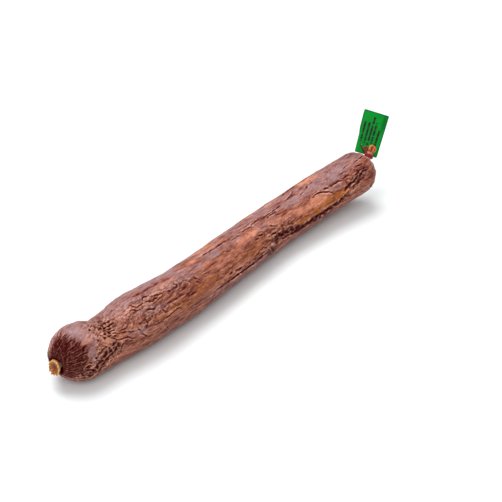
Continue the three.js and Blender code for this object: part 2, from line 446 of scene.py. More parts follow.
class Grain(Enum):
    """The shared surface effects, each a shader node group that is built once."""

    CASING = "casing_grain"
    FIBRES = "twisted_fibres"

    def tree(self) -> bpy.types.NodeTree:
        """The node group, built the first time it is asked for."""
        found = bpy.data.node_groups.get(self.value)
        if found is not None:
            return found
        return self._casing() if self is Grain.CASING else self._fibres()

    def _casing(self) -> bpy.types.NodeTree:
        """Dried casing: streaks, flecks, mottling, a fine crazed skin, and slack skin's folds.

        Returns:
            A group from a place and a fineness to streaks, flecks, mottle and skin height, then
            folds, which are 0 along pinched lines, and veins, 1 along raised ones.
        """
        vector, number = "NodeSocketVector", "NodeSocketFloat"
        labels = ("Streaks", "Flecks", "Mottle", "Skin", "Folds", "Veins")
        tree, wire, into, out = new_group(
            self.value, {"Place": vector, "Fineness": number}, dict.fromkeys(labels, number)
        )
        scaled = {0: into.outputs["Place"], "Scale": into.outputs["Fineness"]}
        fine = wire.node("ShaderNodeVectorMath", scaled, operation="SCALE").outputs[0]
        loose = wire.mapped(fine, 2.6, 0.4, "TEXTURE")
        crazed = wire.node(
            "ShaderNodeTexVoronoi", {"Vector": fine, "Scale": 620.0}, feature="DISTANCE_TO_EDGE"
        )
        walls = wire.stretch(crazed.outputs["Distance"], 0.0, 0.28)
        wire.fill(out, {
            "Streaks": wire.noise(wire.mapped(fine, 0.15), 310.0, 5.0, 0.64, 0.7),
            "Flecks": wire.noise(wire.mapped(fine, 0.13), 780.0, 2.0, 0.6),
            "Mottle": wire.noise(fine, 95.0, 4.0, 0.6),
            "Skin": wire.blend(0.6, walls, wire.noise(fine, 1500.0, 3.0, 0.6)),
            "Folds": self._off_line(wire, loose, 135.0),
            "Veins": wire.rest(self._off_line(wire, loose, 190.0)),
        })
        return tree

    @staticmethod
    def _off_line(wire: Wiring, place: bpy.types.NodeSocket, scale: float) -> bpy.types.NodeSocket:
        """How far a place is off the winding lines through a noise: 0 on them, 1 beside them."""
        ripple = wire.noise(place, scale, 2.0, 0.55, 0.35)
        return wire.held("ADD", wire.stretch(ripple, 0.5, 0.56), wire.stretch(ripple, 0.5, 0.44))

    def _fibres(self) -> bpy.types.NodeTree:
        """Spun fibres: fine threads, and patches where the twine is worn or stained.

        Returns:
            A group from a place to threads and wear, both 0 to 1.
        """
        number = "NodeSocketFloat"
        tree, wire, into, out = new_group(
            self.value, {"Place": "NodeSocketVector"}, {"Threads": number, "Wear": number}
        )
        place = into.outputs["Place"]
        wire.fill(out, {
            "Threads": wire.noise(place, 5200.0, 2.0, 0.7),
            "Wear": wire.stretch(wire.noise(place, 480.0), 0.35, 0.65),
        })
        return tree


def new_material(name: str) -> tuple[bpy.types.Material, Wiring, bpy.types.Node]:
    """A material with a Principled BSDF ready to be fed.

    Args:
        name: The material's name.

    Returns:
        The material, its wiring and the shader node.
    """
    material = bpy.data.materials.new(name)
    material.use_nodes = True
    tree = material.node_tree
    return material, Wiring(tree), tree.nodes["Principled BSDF"]


def grain_node(wire: Wiring, grain: Grain, **inputs: object) -> bpy.types.Node:
    """Places a shared effect in a material, read at the object's own coordinates.

    Args:
        wire: The material's wiring.
        grain: Which effect.
        inputs: The group's other inputs.

    Returns:
        The group node.
    """
    return wire.node(
        "ShaderNodeGroup", {"Place": wire.place(), **inputs}, node_tree=grain.tree()
    )


@dataclass(frozen=True)
class CasingFinish:
    """Dried natural casing over cured meat, in linear colours.

    The painted numbers on the mesh choose between the tones: mauve where the skin is dry and
    smooth, which along the top is also a painted sheen; salmon over fat near the surface, which
    is partly a painted highlight where the skin faces the light; amber where the casing is thick
    and clear; wine where lean meat shows; and a near-black red painted as shade in the creases,
    furrows and hollows. Two more say where the skin stands up in ridges, which take the lit
    colour as a painted highlight, and where it is slack enough to be finely folded and veined,
    with painted shade in the pinched folds and painted highlight along the veins.
    """

    name: str = "cured_casing"
    dark: Colour = (0.095, 0.007, 0.006)
    brown: Colour = (0.43, 0.148, 0.085)
    # The mauve is the dry skin's own tone, and along the top a painted sheen.
    mauve_and_sheen: Colour = (0.32, 0.185, 0.195)
    # The salmon is fat's tone, and in places a painted highlight where the skin faces the light.
    salmon: Colour = (0.82, 0.315, 0.19)
    amber: Colour = (0.46, 0.135, 0.015)
    wine: Colour = (0.044, 0.0002, 0.0014)
    # The crease colour is painted shade for creases, furrows and hollows.
    crease: Colour = (0.060, 0.0006, 0.0005)
    # The lit colour is a painted highlight for ridges, veins and bright flecks.
    lit: Colour = (0.93, 0.47, 0.345)
    fineness: float = 1.0
    skin_depth: float = 0.0003
    fold_depth: float = 0.00072
    coat: float = 0.2

    def material(self) -> bpy.types.Material:
        """Builds the material.

        Returns:
            The casing's material.
        """
        material, wire, shader = new_material(self.name)
        grain = grain_node(wire, Grain.CASING, Fineness=self.fineness)
        streaks, flecks, mottle = (grain.outputs[key] for key in ("Streaks", "Flecks", "Mottle"))
        colour = wire.mixed(wire.stretch(streaks, 0.40, 0.62), self.dark, self.brown)
        uneven = wire.stretch(mottle, 0.2, 0.62)
        # The tones; mauve also carries a painted sheen and salmon a painted highlight.
        for tone in ("mauve_and_sheen", "salmon", "amber"):
            share = wire.times(wire.attribute(tone), uneven)
            colour = wire.mixed(share, colour, getattr(self, tone))
        # Bright flecks in the painted highlight colour, then dark flecks.
        colour = wire.mixed(wire.times(wire.stretch(flecks, 0.54, 0.72), 0.4), colour, self.lit)
        colour = wire.mixed(wire.times(wire.stretch(flecks, 0.46, 0.29), 0.5), colour, self.dark)
        speck = wire.held("MULTIPLY_ADD", wire.stretch(flecks, 0.66, 0.4), 0.15, 0.85)
        wine = wire.stretch(wire.times(wire.attribute("wine"), speck), 0.04, 0.84)
        colour = wire.mixed(wine, colour, self.wine)
        slack = wire.attribute("slack")
        # Painted highlight along the raised veins of slack skin.
        vein = wire.times(wire.times(slack, 0.6), grain.outputs["Veins"])
        colour = wire.mixed(vein, colour, self.lit)
        # Painted highlight on the ridges.
        ridge = wire.times(wire.attribute("ridge"), wire.stretch(streaks, 0.36, 0.62))
        colour = wire.mixed(ridge, colour, self.lit)
        # Painted shade in the pinched valleys of slack skin's folds.
        pinch = wire.times(slack, wire.rest(grain.outputs["Folds"]))
        colour = wire.mixed(wire.times(pinch, 0.68), colour, self.crease)
        # Painted shade in the creases, furrows and hollows, in the crease colour.
        crease = wire.stretch(wire.attribute("crease"), 0.04, 0.88)
        bare = wire.held("ADD", wire.held("ADD", wine, pinch), crease)
        skin_relief = wire.blend(0.6, grain.outputs["Skin"], flecks)
        fold_relief = wire.maths("SUBTRACT", vein, pinch)
        under = wire.bump(skin_relief, self.skin_depth, 0.8)
        wire.fill(shader, {
            "Base Color": wire.mixed(crease, colour, self.crease),
            "Roughness": wire.ranged(wire.stretch(mottle, 0.3, 0.7), 0.55, 0.4),
            "Normal": wire.bump(fold_relief, self.fold_depth, 0.9, under),
            "Specular IOR Level": 0.03,
            "Coat Weight": wire.held("MULTIPLY_ADD", bare, -self.coat, self.coat),
            "Coat Roughness": 0.24,
        })
        return material


@dataclass(frozen=True)
class GatheredFinish:
    """The thick, clear, gathered casing of the rosette and the tuft."""

    name: str
    pale: Colour
    amber: Colour
    heart: Colour
    fineness: float = 2.4

    def material(self) -> bpy.types.Material:
        """Builds the material: pale on the folds' crests, amber, and dark towards the heart. On the
        rosette the pale crest is partly a painted highlight along its upper rim, and the dark is
        partly painted shade on its neck deep in the dimple.

        Returns:
            The gathered casing's material.
        """
        material, wire, shader = new_material(self.name)
        grain = grain_node(wire, Grain.CASING, Fineness=self.fineness)
        uneven = wire.stretch(grain.outputs["Mottle"], 0.3, 0.65)
        heart = wire.held("MULTIPLY_ADD", uneven, 0.35, wire.attribute("heart"))
        crest = wire.times(wire.attribute("crest"), wire.stretch(uneven, -0.4, 0.6))
        colour = wire.mixed(wire.stretch(heart, 0.2, 0.95), self.amber, self.heart)
        wire.fill(shader, {
            "Base Color": wire.mixed(crest, colour, self.pale),
            "Roughness": wire.ranged(grain.outputs["Mottle"], 0.2, 0.5),
            "Normal": wire.bump(grain.outputs["Skin"], 0.0003, 0.6),
            "Specular IOR Level": 0.2,
            "Coat Weight": 0.1,
            "Coat Roughness": 0.25,
        })
        return material


@dataclass(frozen=True)
class TwineFinish:
    """Spun twine, greasy and stained by the casing that it ties; the near twine's colours also
    hold painted shade.
    """

    name: str
    fresh: Colour
    stained: Colour
    deep: Colour

    def material(self) -> bpy.types.Material:
        """Builds the material.

        Returns:
            The twine's material.
        """
        material, wire, shader = new_material(self.name)
        grain = grain_node(wire, Grain.FIBRES)
        threads = grain.outputs["Threads"]
        colour = wire.mixed(grain.outputs["Wear"], self.fresh, self.stained)
        wire.fill(shader, {
            "Base Color": wire.mixed(wire.stretch(threads, 0.55, 0.25), colour, self.deep),
            "Roughness": wire.ranged(threads, 0.55, 0.9),
            "Normal": wire.bump(threads, 0.00012, 0.8),
            "Specular IOR Level": 0.04,
        })
        return material


@dataclass(frozen=True)
class TagFinish:
    """Stiff moulded plastic sheet, darker along its rim, with painted shade along its bent side
    and handling scuffs.
    """

    name: str = "tag_green"
    green: Colour = (0.001, 0.30, 0.027)
    shade: Colour = (0.001, 0.10, 0.013)

    def material(self) -> bpy.types.Material:
        """Builds the material.

        Returns:
            The tag's material.
        """
        material, wire, shader = new_material(self.name)
        place = wire.place()
        cloudy = wire.stretch(wire.noise(place, 130.0), 0.25, 0.75)
        tint = wire.held("MULTIPLY_ADD", cloudy, 0.3, wire.attribute("rim"))
        scuffs = wire.noise(place, 1900.0, 2.0)
        wire.fill(shader, {
            "Base Color": wire.mixed(tint, self.green, self.shade),
            "Roughness": wire.ranged(scuffs, 0.4, 0.6),
            "Normal": wire.bump(scuffs, 0.0001, 0.3),
            "Specular IOR Level": 0.06,
        })
        return material


@dataclass(frozen=True)
class InkFinish:
    """Dark printing ink with a slightly broken film."""

    name: str = "tag_ink"
    ink: Colour = (0.006, 0.012, 0.008)
    thin: Colour = (0.012, 0.05, 0.02)

    def material(self) -> bpy.types.Material:
        """Builds the material.

        Returns:
            The ink's material.
        """
        material, wire, shader = new_material(self.name)
        worn = wire.stretch(wire.noise(wire.place(), 2600.0, 2.0), 0.5, 0.75)
        wire.fill(shader, {
            "Base Color": wire.mixed(worn, self.ink, self.thin),
            "Roughness": 0.45,
            "Specular IOR Level": 0.15,
        })
        return material


# ---- The loin's plain form ----


@dataclass(frozen=True)
class LoinForm:
    """The loin's plain form, in millimetres, before its skin's relief."""

    length: float = 556.0
    girth: Stations = (
        (0, 29.2), (30, 30.7), (62, 29.2), (108, 32), (170, 31.1), (240, 30.4), (400, 29.4),
        (500, 29.8), (556, 29.4),
    )
    sway: Stations = (
        (0, 5.5), (40, 3), (90, -2.3), (187, -4.4), (280, 1.2), (373, 5.6), (470, 0.2), (556, -14),
    )
    squash: float = 0.97
    press: float = 1.3
    # How far the middle rises near the head and the far end and drops at the pole, and over
    # what length.
    head_rise: tuple[float, float] = (3.4, 90)
    far_rise: tuple[float, float] = (20, 211)
    pole_drop: tuple[float, float] = (2.4, 30)
    head_reach: float = 29.0
    dimple: Stations = ((0, 7.5), (5.4, 6.9), (9, 3.2), (11.2, 2.2))
    # Far end, by share of the way from the shoulder to the tie: place along x, height of the
    # middle, radius, and how far the ring leans back.
    end_x: Stations = (
        (0, 534), (0.15, 541), (0.3, 546), (0.45, 549.6), (0.6, 552.6), (0.72, 555), (0.84, 557.4),
        (1, 559.5),
    )
    end_height: Stations = (
        (0, 43.6), (0.15, 44.4), (0.3, 45.2), (0.45, 46.4), (0.6, 48.4), (0.72, 51), (0.84, 54),
        (1, 57.1),
    )
    end_radius: Stations = (
        (0, 29), (0.15, 27.6), (0.3, 24.8), (0.45, 20.8), (0.6, 15.6), (0.72, 11), (0.84, 7.2),
        (1, 4.2),
    )
    end_lean: Stations = ((0, 0), (0.3, 3), (0.45, 6), (0.6, 12), (0.72, 22), (0.84, 34), (1, 43))
    end_sway: float = 2.0
    neck_rise: float = math.radians(43)
    neck_length: float = 9.0
    neck_radius: float = 3.9
    neck_base: tuple[float, float, float] = (546.0, -12.0, 44.5)

    def half_width(self, x: np.ndarray) -> np.ndarray:
        """Half-width of the loin, head cap included, before the shoulder."""
        return through(self.girth, x) * fullness(x, self.head_reach, 2.0)

    def middle_height(self, x: np.ndarray) -> np.ndarray:
        """Height of a section's middle over the table."""
        plain = self.squash * through(self.girth, x) - self.press
        near, far = self.eased(x, self.head_rise), self.eased(self.length - x, self.far_rise)
        return plain + near + far - self.eased(x, self.pole_drop)

    @staticmethod
    def eased(distance: np.ndarray, rise: tuple[float, float]) -> np.ndarray:
        """A rise that eases from its full height at distance 0 to nothing at its reach."""
        height, reach = rise
        return height * np.maximum(0, 1 - distance / reach) ** 2

    def lobes(self, angle: np.ndarray, x: np.ndarray) -> np.ndarray:
        """Shallow lobes round a section, as a factor on its radius."""
        turn = x / 110
        return 1 + 0.014 * np.cos(3 * angle + turn) + 0.008 * np.cos(5 * angle - turn)

    def pole(self) -> np.ndarray:
        """The head's pole."""
        x = np.array(0.0)
        return np.array([0.0, float(through(self.sway, x)), float(self.middle_height(x))])

    def tie(self) -> np.ndarray:
        """The middle of the ring where the tie starts."""
        across = through(self.sway, np.array(self.length)) + self.end_sway
        return np.array([self.end_x[-1][1], across, self.end_height[-1][1]])

    def profile(self) -> dict[str, np.ndarray]:
        """The rings' middles, radii and leans, very finely, from the dimple to past the tie.

        Returns:
            Arrays by name: x for where features are counted from, cx, cy, cz, radius and lean.
        """
        rim_radius, rim_x = self.dimple[-1]
        inner = np.linspace(0.3, rim_radius, 24)
        dimple_x = through(self.dimple, inner)
        angle = np.linspace(math.acos(1 - rim_x / self.head_reach), math.pi / 2, 160)[1:]
        cap_x = self.head_reach * (1 - np.cos(angle))
        shoulder_x = self.end_x[0][1]
        body_x = np.linspace(self.head_reach, shoulder_x, 3000)[1:]
        plain_x = np.concatenate([dimple_x, cap_x, body_x])
        plain_radius = np.concatenate([inner, self.half_width(cap_x), self.half_width(body_x)])
        feature_x = np.concatenate([np.minimum(dimple_x, rim_x), cap_x, body_x])
        share = np.linspace(0, 1, 260)[1:]
        end_sway = through(self.sway, np.array(shoulder_x))
        tie = self.tie()
        end_y = end_sway + (tie[1] - end_sway) * smooth(share * 1.25)
        along = np.linspace(0, self.neck_length, 40)[1:]
        rise = self.neck_rise
        neck = tie + along[:, None] * np.array([math.cos(rise), 0.0, math.sin(rise)])
        still = np.ones(len(along))
        return {
            "x": np.concatenate([
                feature_x, shoulder_x + (self.length - shoulder_x) * share, self.length + along,
            ]),
            "cx": np.concatenate([plain_x, through(self.end_x, share), neck[:, 0]]),
            "cy": np.concatenate([through(self.sway, plain_x), end_y, neck[:, 1]]),
            "cz": np.concatenate([
                self.middle_height(plain_x), through(self.end_height, share), neck[:, 2],
            ]),
            "radius": np.concatenate([
                plain_radius, through(self.end_radius, share), self.neck_radius * still,
            ]),
            "lean": np.concatenate([
                0 * plain_x, np.radians(through(self.end_lean, share)), rise * still,
            ]),
        }


def frame_shift(form: LoinForm) -> Vector:
    """How far the form's own place is from its place in the frame.

    Args:
        form: The loin's plain form.

    Returns:
        The shift from the form's own millimetres to the frame's, in millimetres.
    """
    rosette_reach = 2.84  # How far the rosette stands out past the head's pole.
    low, high = (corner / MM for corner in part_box("cured_loin"))
    x = np.linspace(10, 545, 600)
    angle = np.array([[0.0], [math.pi]])
    sides = through(form.sway, x) + form.half_width(x) * form.lobes(angle, x) * np.cos(angle)
    middle = (sides.min() + sides.max()) / 2
    return Vector((low.x + rosette_reach, (low.y + high.y) / 2 - middle, 0))


# ---- Relief and tones of the skin ----


class Tone(Enum):
    """What a patch of skin is painted with."""

    # Mauve is partly the dry skin's own tone and partly a painted sheen along the top.
    MAUVE_AND_SHEEN = "mauve_and_sheen"
    SALMON = "salmon"
    AMBER = "amber"
    WINE = "wine"


@dataclass(frozen=True)
class Crease:
    """A furrow in the skin, along a few points given as x and angle.

    depth and width are in millimetres, lip is how high the skin rises beside it, and the last
    field is how strongly painted shade darkens the furrow's floor.
    """

    path: Stations
    depth: float = 0.9
    width: float = 1.1
    lip: float = 0.35
    red: float = 1.0


@dataclass(frozen=True)
class Patch:
    """A soft-edged patch of one tone: its middle, half-length in millimetres, half-height in
    degrees, and how many degrees it climbs for each millimetre along the loin."""

    x: float
    angle: float
    half_length: float
    half_height: float
    strength: float = 1.0
    climb: float = 0.0


@dataclass(frozen=True)
class Zone:
    """A soft-edged stretch of skin in which a kind of wrinkle runs at full strength."""

    x: float
    angle: float
    half_length: float
    half_height: float
    climb: float = 0.0


CREASES = (
    # Behind the head's dome: short lengthwise slits.
    Crease(((51, 107), (60, 105.5), (72, 105)), 1.0, 0.8),
    Crease(((61, 115), (70, 114)), 1.5, 1.2),
    Crease(((53, 117), (60, 118)), 1.0, 0.8),
    Crease(((54, 122), (62, 122.5)), 1.2, 0.9),
    Crease(((56, 127.5), (65, 128)), 1.1, 1.0),
    Crease(((55, 136), (57, 139)), 1.2, 1.1),
    Crease(((39, 131), (42, 137)), 0.9, 0.9),
    Crease(((41, 148), (44, 150), (47, 156)), 1.2, 0.9),
    Crease(((60, 133), (66, 141), (75, 144), (82, 152)), 0.8, 1.0, 0.4, 0.6),
    Crease(((56, 141), (62, 150), (74, 156), (84, 168)), 0.8, 0.9, 0.5, 0.5),
    Crease(((66, 137), (78, 138)), 0.8, 0.9),
    # Under the dome: deep lean crevices between pale ridges.
    Crease(((24, 196), (32, 184), (42, 172), (54, 158)), 2.0, 2.6, 0.3),
    Crease(((18, 186), (24, 194), (27, 204)), 1.6, 1.8, 0.5),
    Crease(((32, 196), (44, 180), (58, 166)), 1.4, 1.4, 0.5),
    Crease(((27, 172), (36, 160), (46, 152)), 1.2, 1.2, 0.4),
    Crease(((60, 176), (68, 165)), 0.8, 0.9),
    # The ridged stretch.
    Crease(((94, 98), (97, 108), (100, 116), (106, 115), (111, 112)), 0.9, 0.9, 0.6, 0.6),
    Crease(((112, 108), (116, 104), (121, 107)), 1.1, 0.9, 0.5),
    Crease(((113, 114), (119, 117), (122, 123)), 0.8, 0.8, 0.4),
    Crease(((84, 116), (92, 114), (99, 119)), 0.9, 0.9),
    Crease(((86, 148), (90, 157)), 1.0, 1.0),
    Crease(((100, 142), (102, 152)), 1.0, 0.9),
    Crease(((90, 165), (97, 181)), 0.8, 0.9),
    Crease(((122, 174), (128, 193)), 0.8, 0.8),
    Crease(((104, 128), (112, 131), (120, 137)), 0.9, 1.0),
    Crease(((126, 144), (128, 153)), 0.9, 1.0),
    Crease(((120, 109), (132, 115), (144, 116)), 0.7, 0.9, 0.5),
    Crease(((158, 111), (160.5, 117), (158, 124)), 0.8, 0.8, 0.5),
    Crease(((136, 121), (152, 119), (170, 121)), 0.5, 1.0),
    Crease(((132, 139), (150, 141), (164, 140)), 0.6, 1.2),
    Crease(((166, 150), (180, 151)), 0.8, 1.1),
    Crease(((187, 122), (191, 129)), 1.1, 1.2),
    Crease(((186, 131), (190, 138)), 1.1, 1.2),
    # Long creases along the top.
    Crease(((214, 91), (226, 91), (245, 93), (258, 94), (268, 93)), 1.2, 1.2, 0.5),
    Crease(((272, 100), (280, 102), (289, 102)), 0.8, 1.1),
    Crease(((294, 99), (305, 99.5)), 1.1, 1.0),
    Crease(((304, 103), (318, 99), (336, 93)), 0.8, 0.9, 0.5),
    Crease(((336, 98), (352, 100), (372, 98), (380, 96)), 1.3, 1.0, 0.4),
    Crease(((344, 106), (356, 105.5), (366, 103)), 2.0, 1.3, 0.5),
    Crease(((390, 94), (400, 90), (411, 84), (418, 74)), 1.0, 1.0, 0.5),
    Crease(((415, 104), (423, 103)), 0.7, 0.9),
    Crease(((427, 96), (438, 92), (450, 88)), 0.9, 1.2),
    Crease(((473, 87), (489, 85)), 0.7, 1.3),
    Crease(((250, 66), (268, 64)), 0.8, 1.2),
    Crease(((292, 78), (312, 80), (330, 84)), 0.6, 1.4),
    Crease(((393, 66), (412, 63), (430, 61)), 0.8, 1.6),
    # Front and lower front.
    Crease(((303, 134), (311, 136)), 0.9, 1.0),
    Crease(((313, 132), (320, 134)), 0.8, 0.9),
    Crease(((317, 126), (322, 130)), 0.9, 0.9),
    Crease(((338, 127), (343, 133), (348, 140)), 1.1, 1.1, 0.5),
    Crease(((326, 146), (340, 150), (352, 147)), 0.9, 1.1, 0.5),
    Crease(((232, 163), (246, 163)), 0.9, 1.3),
    Crease(((250, 167), (263, 169)), 0.9, 1.3),
    Crease(((206, 178), (222, 177), (246, 178), (268, 181), (290, 181), (318, 178)), 1.1, 1.5, 0.6),
    Crease(((323, 172), (328, 184), (333, 198)), 1.2, 1.6),
    Crease(((335, 156), (350, 160), (362, 166), (376, 169)), 1.8, 2.2, 0.6),
    Crease(((352, 158), (372, 160)), 1.3, 1.3, 0.4),
    Crease(((345, 172), (360, 176), (385, 180)), 1.3, 1.6, 0.5),
    # The amber roll and the terrace near the far end.
    Crease(((384, 179), (410, 177), (440, 179), (468, 178), (486, 170)), 2.2, 2.2, 0.9),
    Crease(((425, 128), (433, 126), (441, 128), (449, 135), (461, 146)), 1.0, 1.0, 0.9, 0.7),
    Crease(((449, 127), (462, 130), (482, 130), (498, 131)), 1.6, 1.2, 0.5),
    Crease(((486, 117), (499, 119)), 0.9, 1.1),
    Crease(((498, 107), (511, 104)), 0.7, 1.3, 0.2, 0.7),
    Crease(((476, 160), (490, 153), (506, 147), (522, 141)), 1.8, 1.9, 0.6),
    Crease(((502, 139), (520, 134)), 1.2, 1.3),
    Crease(((486, 166), (506, 158), (524, 150)), 1.6, 1.7, 0.6),
    Crease(((512, 120), (528, 124)), 0.8, 1.0),
    Crease(((520, 108), (538, 104)), 0.7, 1.0),
    # Round the back.
    Crease(((70, 20), (110, 14), (150, 22)), 1.1, 1.3),
    Crease(((180, 36), (230, 30), (262, 36)), 1.0, 1.2),
    Crease(((300, 10), (350, 18), (392, 12), (440, 20)), 1.2, 1.4, 0.5),
    Crease(((96, -16), (140, -22), (170, -14)), 1.0, 1.3),
    Crease(((210, -8), (250, -2), (290, -10)), 1.1, 1.3, 0.5),
    Crease(((330, -24), (372, -18), (420, -26)), 1.0, 1.3),
    Crease(((440, 40), (480, 36), (512, 42)), 0.9, 1.2),
    Crease(((450, 0), (490, -6), (520, 2)), 1.3, 1.5, 0.5),
    Crease(((34, 32), (48, 22), (60, 26)), 1.0, 1.1),
    Crease(((30, -10), (46, -2), (58, -12)), 1.1, 1.2),
)

# For each tone, its patches' x, angle, half-length, half-height, strength and climb.
PATCHES = {
    Tone.MAUVE_AND_SHEEN: (
        # The head.
        (29, 92, 16, 44, 1.3), (28, 158, 6, 22, 1.15), (34, 128, 8, 16, 0.9), (30, 55, 16, 30, 0.7),
        # Painted sheen along the top.
        (75, 75, 40, 18, 0.7), (140, 66, 50, 20, 1.0), (158, 106, 24, 9, 0.8),
        (88, 158, 12, 7, 0.8, 0.5), (176, 112, 18, 10, 0.7), (237, 107, 12, 6.5, 1.0),
        (272, 107, 17, 6.5, 1.0), (205, 106, 10, 8, 0.6), (310, 80, 26, 8, 0.8),
        (352, 78, 24, 15, 1.15), (400, 78, 34, 9, 0.9), (405, 105, 50, 10, 1.0, 0.12),
        (468, 104, 50, 20, 1.15), (330, 118, 22, 10, 0.7), (462, 138, 24, 7, 0.9, 0.3),
        (500, 88, 40, 26, 0.9),
        # Where fat is near.
        (82, 96, 18, 7, 0.8), (112, 132, 22, 9, 0.7, 0.3),
        # Lower down and by the far crease.
        (235, 182, 34, 6, 0.7), (300, 186, 30, 9, 0.6),
        # Round the back and beneath.
        (120, 10, 44, 20, 0.8), (280, 26, 40, 16, 0.8), (420, 22, 44, 18, 0.9),
        (300, 228, 240, 22, 0.5),
    ),
    Tone.SALMON: (
        # The head.
        (27, 127, 7, 6, 0.55),
        # Under the dome.
        (20, 171, 6, 6, 0.6, 1.2),
        # Where fat is near, and painted highlight where the skin faces the light.
        (88, 112, 20, 5, 0.5), (143, 104, 26, 4.5, 0.6, -0.25), (58, 146, 14, 12, 0.6, 0.4),
        (214, 88, 26, 5, 0.7), (232, 68, 16, 9, 0.95), (268, 64, 22, 6, 0.8),
        (215, 112, 10, 8, 0.5), (246, 86, 22, 4, 0.7), (296, 117, 26, 8, 1.0),
        (330, 64, 20, 5, 0.8), (376, 66, 12, 6, 1.1), (355, 128, 22, 9, 0.6, 0.5),
        (392, 137, 20, 9, 0.75, 0.4), (430, 142, 26, 11, 1.1), (449, 72, 20, 11, 1.0),
        (545, 100, 12, 45, 0.95), (557, 100, 8, 180, 1.0), (60, 192, 26, 8, 0.35),
        # The front and lower front.
        (245, 165, 44, 4, 0.8), (255, 130, 40, 9, 0.5, -0.1),
        # Round the back and beneath.
        (200, 14, 36, 10, 0.7), (470, -14, 30, 9, 0.8), (72, -14, 22, 9, 0.6),
    ),
    Tone.AMBER: (
        # The head.
        (5, 52, 4, 10, 0.7),
        # Under the dome.
        (26, 204, 8, 8, 0.6),
        # The front and lower front.
        (150, 160, 34, 10, 0.5), (196, 150, 22, 9, 0.55), (223, 166, 10, 4, 0.9),
        (300, 166, 12, 4, 0.95), (236, 70, 22, 8, 0.35), (260, 64, 10, 4, 0.8),
        (265, 126, 7, 2, 0.8), (231, 117, 8, 2, 0.8, 1.1), (394, 163, 16, 6, 0.9, 0.2),
        (450, 162, 36, 10, 1.35), (488, 152, 16, 6, 0.7, -0.3), (290, 150, 40, 10, 0.3),
        # Round the back and beneath.
        (236, -22, 44, 9, 0.6),
    ),
    Tone.WINE: (
        # The head.
        (14, 205, 9, 14, 0.8),
        # Under the dome.
        (45, 172, 18, 10, 1.2, -0.9), (24, 197, 9, 10, 1.2), (36, 188, 13, 10, 1.0, -0.8),
        (57, 110, 9, 9, 0.5), (62, 118, 10, 10, 0.5),
        # Lower down and by the far crease.
        (352, 163, 24, 10, 1.0, 0.2), (378, 176, 16, 9, 1.1), (428, 180, 54, 8, 1.15),
        (508, 147, 22, 10, 1.2, -0.4), (326, 184, 14, 14, 0.75), (534, 72, 20, 26, 0.3),
        (262, 178, 28, 6, 0.6),
        # Round the back and beneath.
        (340, -12, 26, 7, 0.5),
    ),
}

WEBBED = (
    Zone(52, 124, 18, 30),
    Zone(40, 174, 28, 26, -0.5),
    Zone(22, 205, 16, 30),
    Zone(44, 236, 22, 20),
)
RUMPLED = (
    Zone(60, 92, 24, 24),
    Zone(52, 20, 24, 40),
    Zone(104, 118, 44, 22),
    Zone(110, 146, 40, 24, 0.3),
    Zone(160, 118, 30, 16),
    Zone(350, 148, 34, 18),
    Zone(330, 168, 40, 10),
    Zone(508, 146, 22, 12),
    Zone(110, 10, 40, 50),
    Zone(350, 0, 60, 34),
)


@dataclass
class Casing:
    """The loin's whole skin, from the dimple under the rosette to the gathered neck."""

    form: LoinForm = field(default_factory=LoinForm)
    columns: int = 240
    rows: int = 408
    fine_spacing: float = 1.0
    coarse_spacing: float = 1.62
    fine_until: float = 150.0
    crowding: float = 0.22
    pleats: tuple[int, int] = (56, 29)
    seed: int = 20

    def angles(self) -> np.ndarray:
        """Angles of the columns in radians, closest together on top and widest beneath."""
        share = np.arange(self.columns) / self.columns
        turn = share + self.crowding * np.sin(2 * math.pi * share) / (2 * math.pi)
        return -math.pi / 2 + 2 * math.pi * turn

    def placed_rows(self) -> dict[str, np.ndarray]:
        """The profile read at the skin's rows, fine near the head and coarser beyond.

        Returns:
            The profile's arrays, and run, the distance along the skin from its start.
        """
        fine = self.form.profile()
        steps = np.hypot(np.diff(fine["cx"]), np.diff(fine["radius"]))
        steps = np.hypot(steps, np.diff(fine["cz"]) * 0.3)
        run = np.concatenate([[0.0], np.cumsum(steps)])
        ease = smooth((run - self.fine_until) / 30)
        spacing = self.fine_spacing + (self.coarse_spacing - self.fine_spacing) * ease
        spacing *= 1 - 0.35 * smooth((run - run[-1] + 50) / 12)
        count = np.concatenate([[0.0], np.cumsum(steps / (spacing[1:]))])
        wanted = np.linspace(0, count[-1], self.rows)
        rows = {name: np.interp(wanted, count, values) for name, values in fine.items()}
        rows["run"] = np.interp(wanted, count, run)
        return rows

    def plain(self, rows: dict[str, np.ndarray], angle: np.ndarray) -> np.ndarray:
        """The plain form's points at the rows and columns.

        Args:
            rows: The rows' middles, radii and leans.
            angle: The columns' angles.

        Returns:
            Points by row, column, and x, y, z, in the form's own place.
        """
        column = {name: values[:, None] for name, values in rows.items()}
        radius = column["radius"] * self.form.lobes(angle[None, :], column["x"])
        up = self.form.squash * radius * np.sin(angle)
        return np.stack([
            column["cx"] - np.sin(column["lean"]) * up,
            column["cy"] + radius * np.cos(angle),
            column["cz"] + np.cos(column["lean"]) * up,
        ], axis=-1)

    @staticmethod
    def normals(points: np.ndarray) -> np.ndarray:
        """Outward directions on a surface of rings."""
        round_it = np.roll(points, -1, axis=1) - np.roll(points, 1, axis=1)
        along_it = np.gradient(points, axis=0)
        outward = np.cross(round_it, along_it)
        return outward / np.maximum(np.linalg.norm(outward, axis=-1), 1e-9)[..., None]

    def build(self) -> tuple[bpy.types.Mesh, np.ndarray]:
        """Makes the skin with its relief and paints its tones.

        Returns:
            The mesh in the frame's place, in metres, and the shift that put it there.
        """
        rows, angle = self.placed_rows(), self.angles()
        points = self.plain(rows, angle)
        relief = SkinRelief(rows, angle, points, self.pleats, self.seed)
        height = relief.height()
        points = points + self.normals(points) * height[..., None]
        points[..., 2] = np.maximum(points[..., 2], 0.0)
        shift = np.array(frame_shift(self.form))
        points += shift
        mesh = skin("loin", points)
        for name, values in relief.tones(height).items():
            paint(mesh, name, np.append(values.reshape(-1), [0.0, 0.0]))
        return mesh, shift


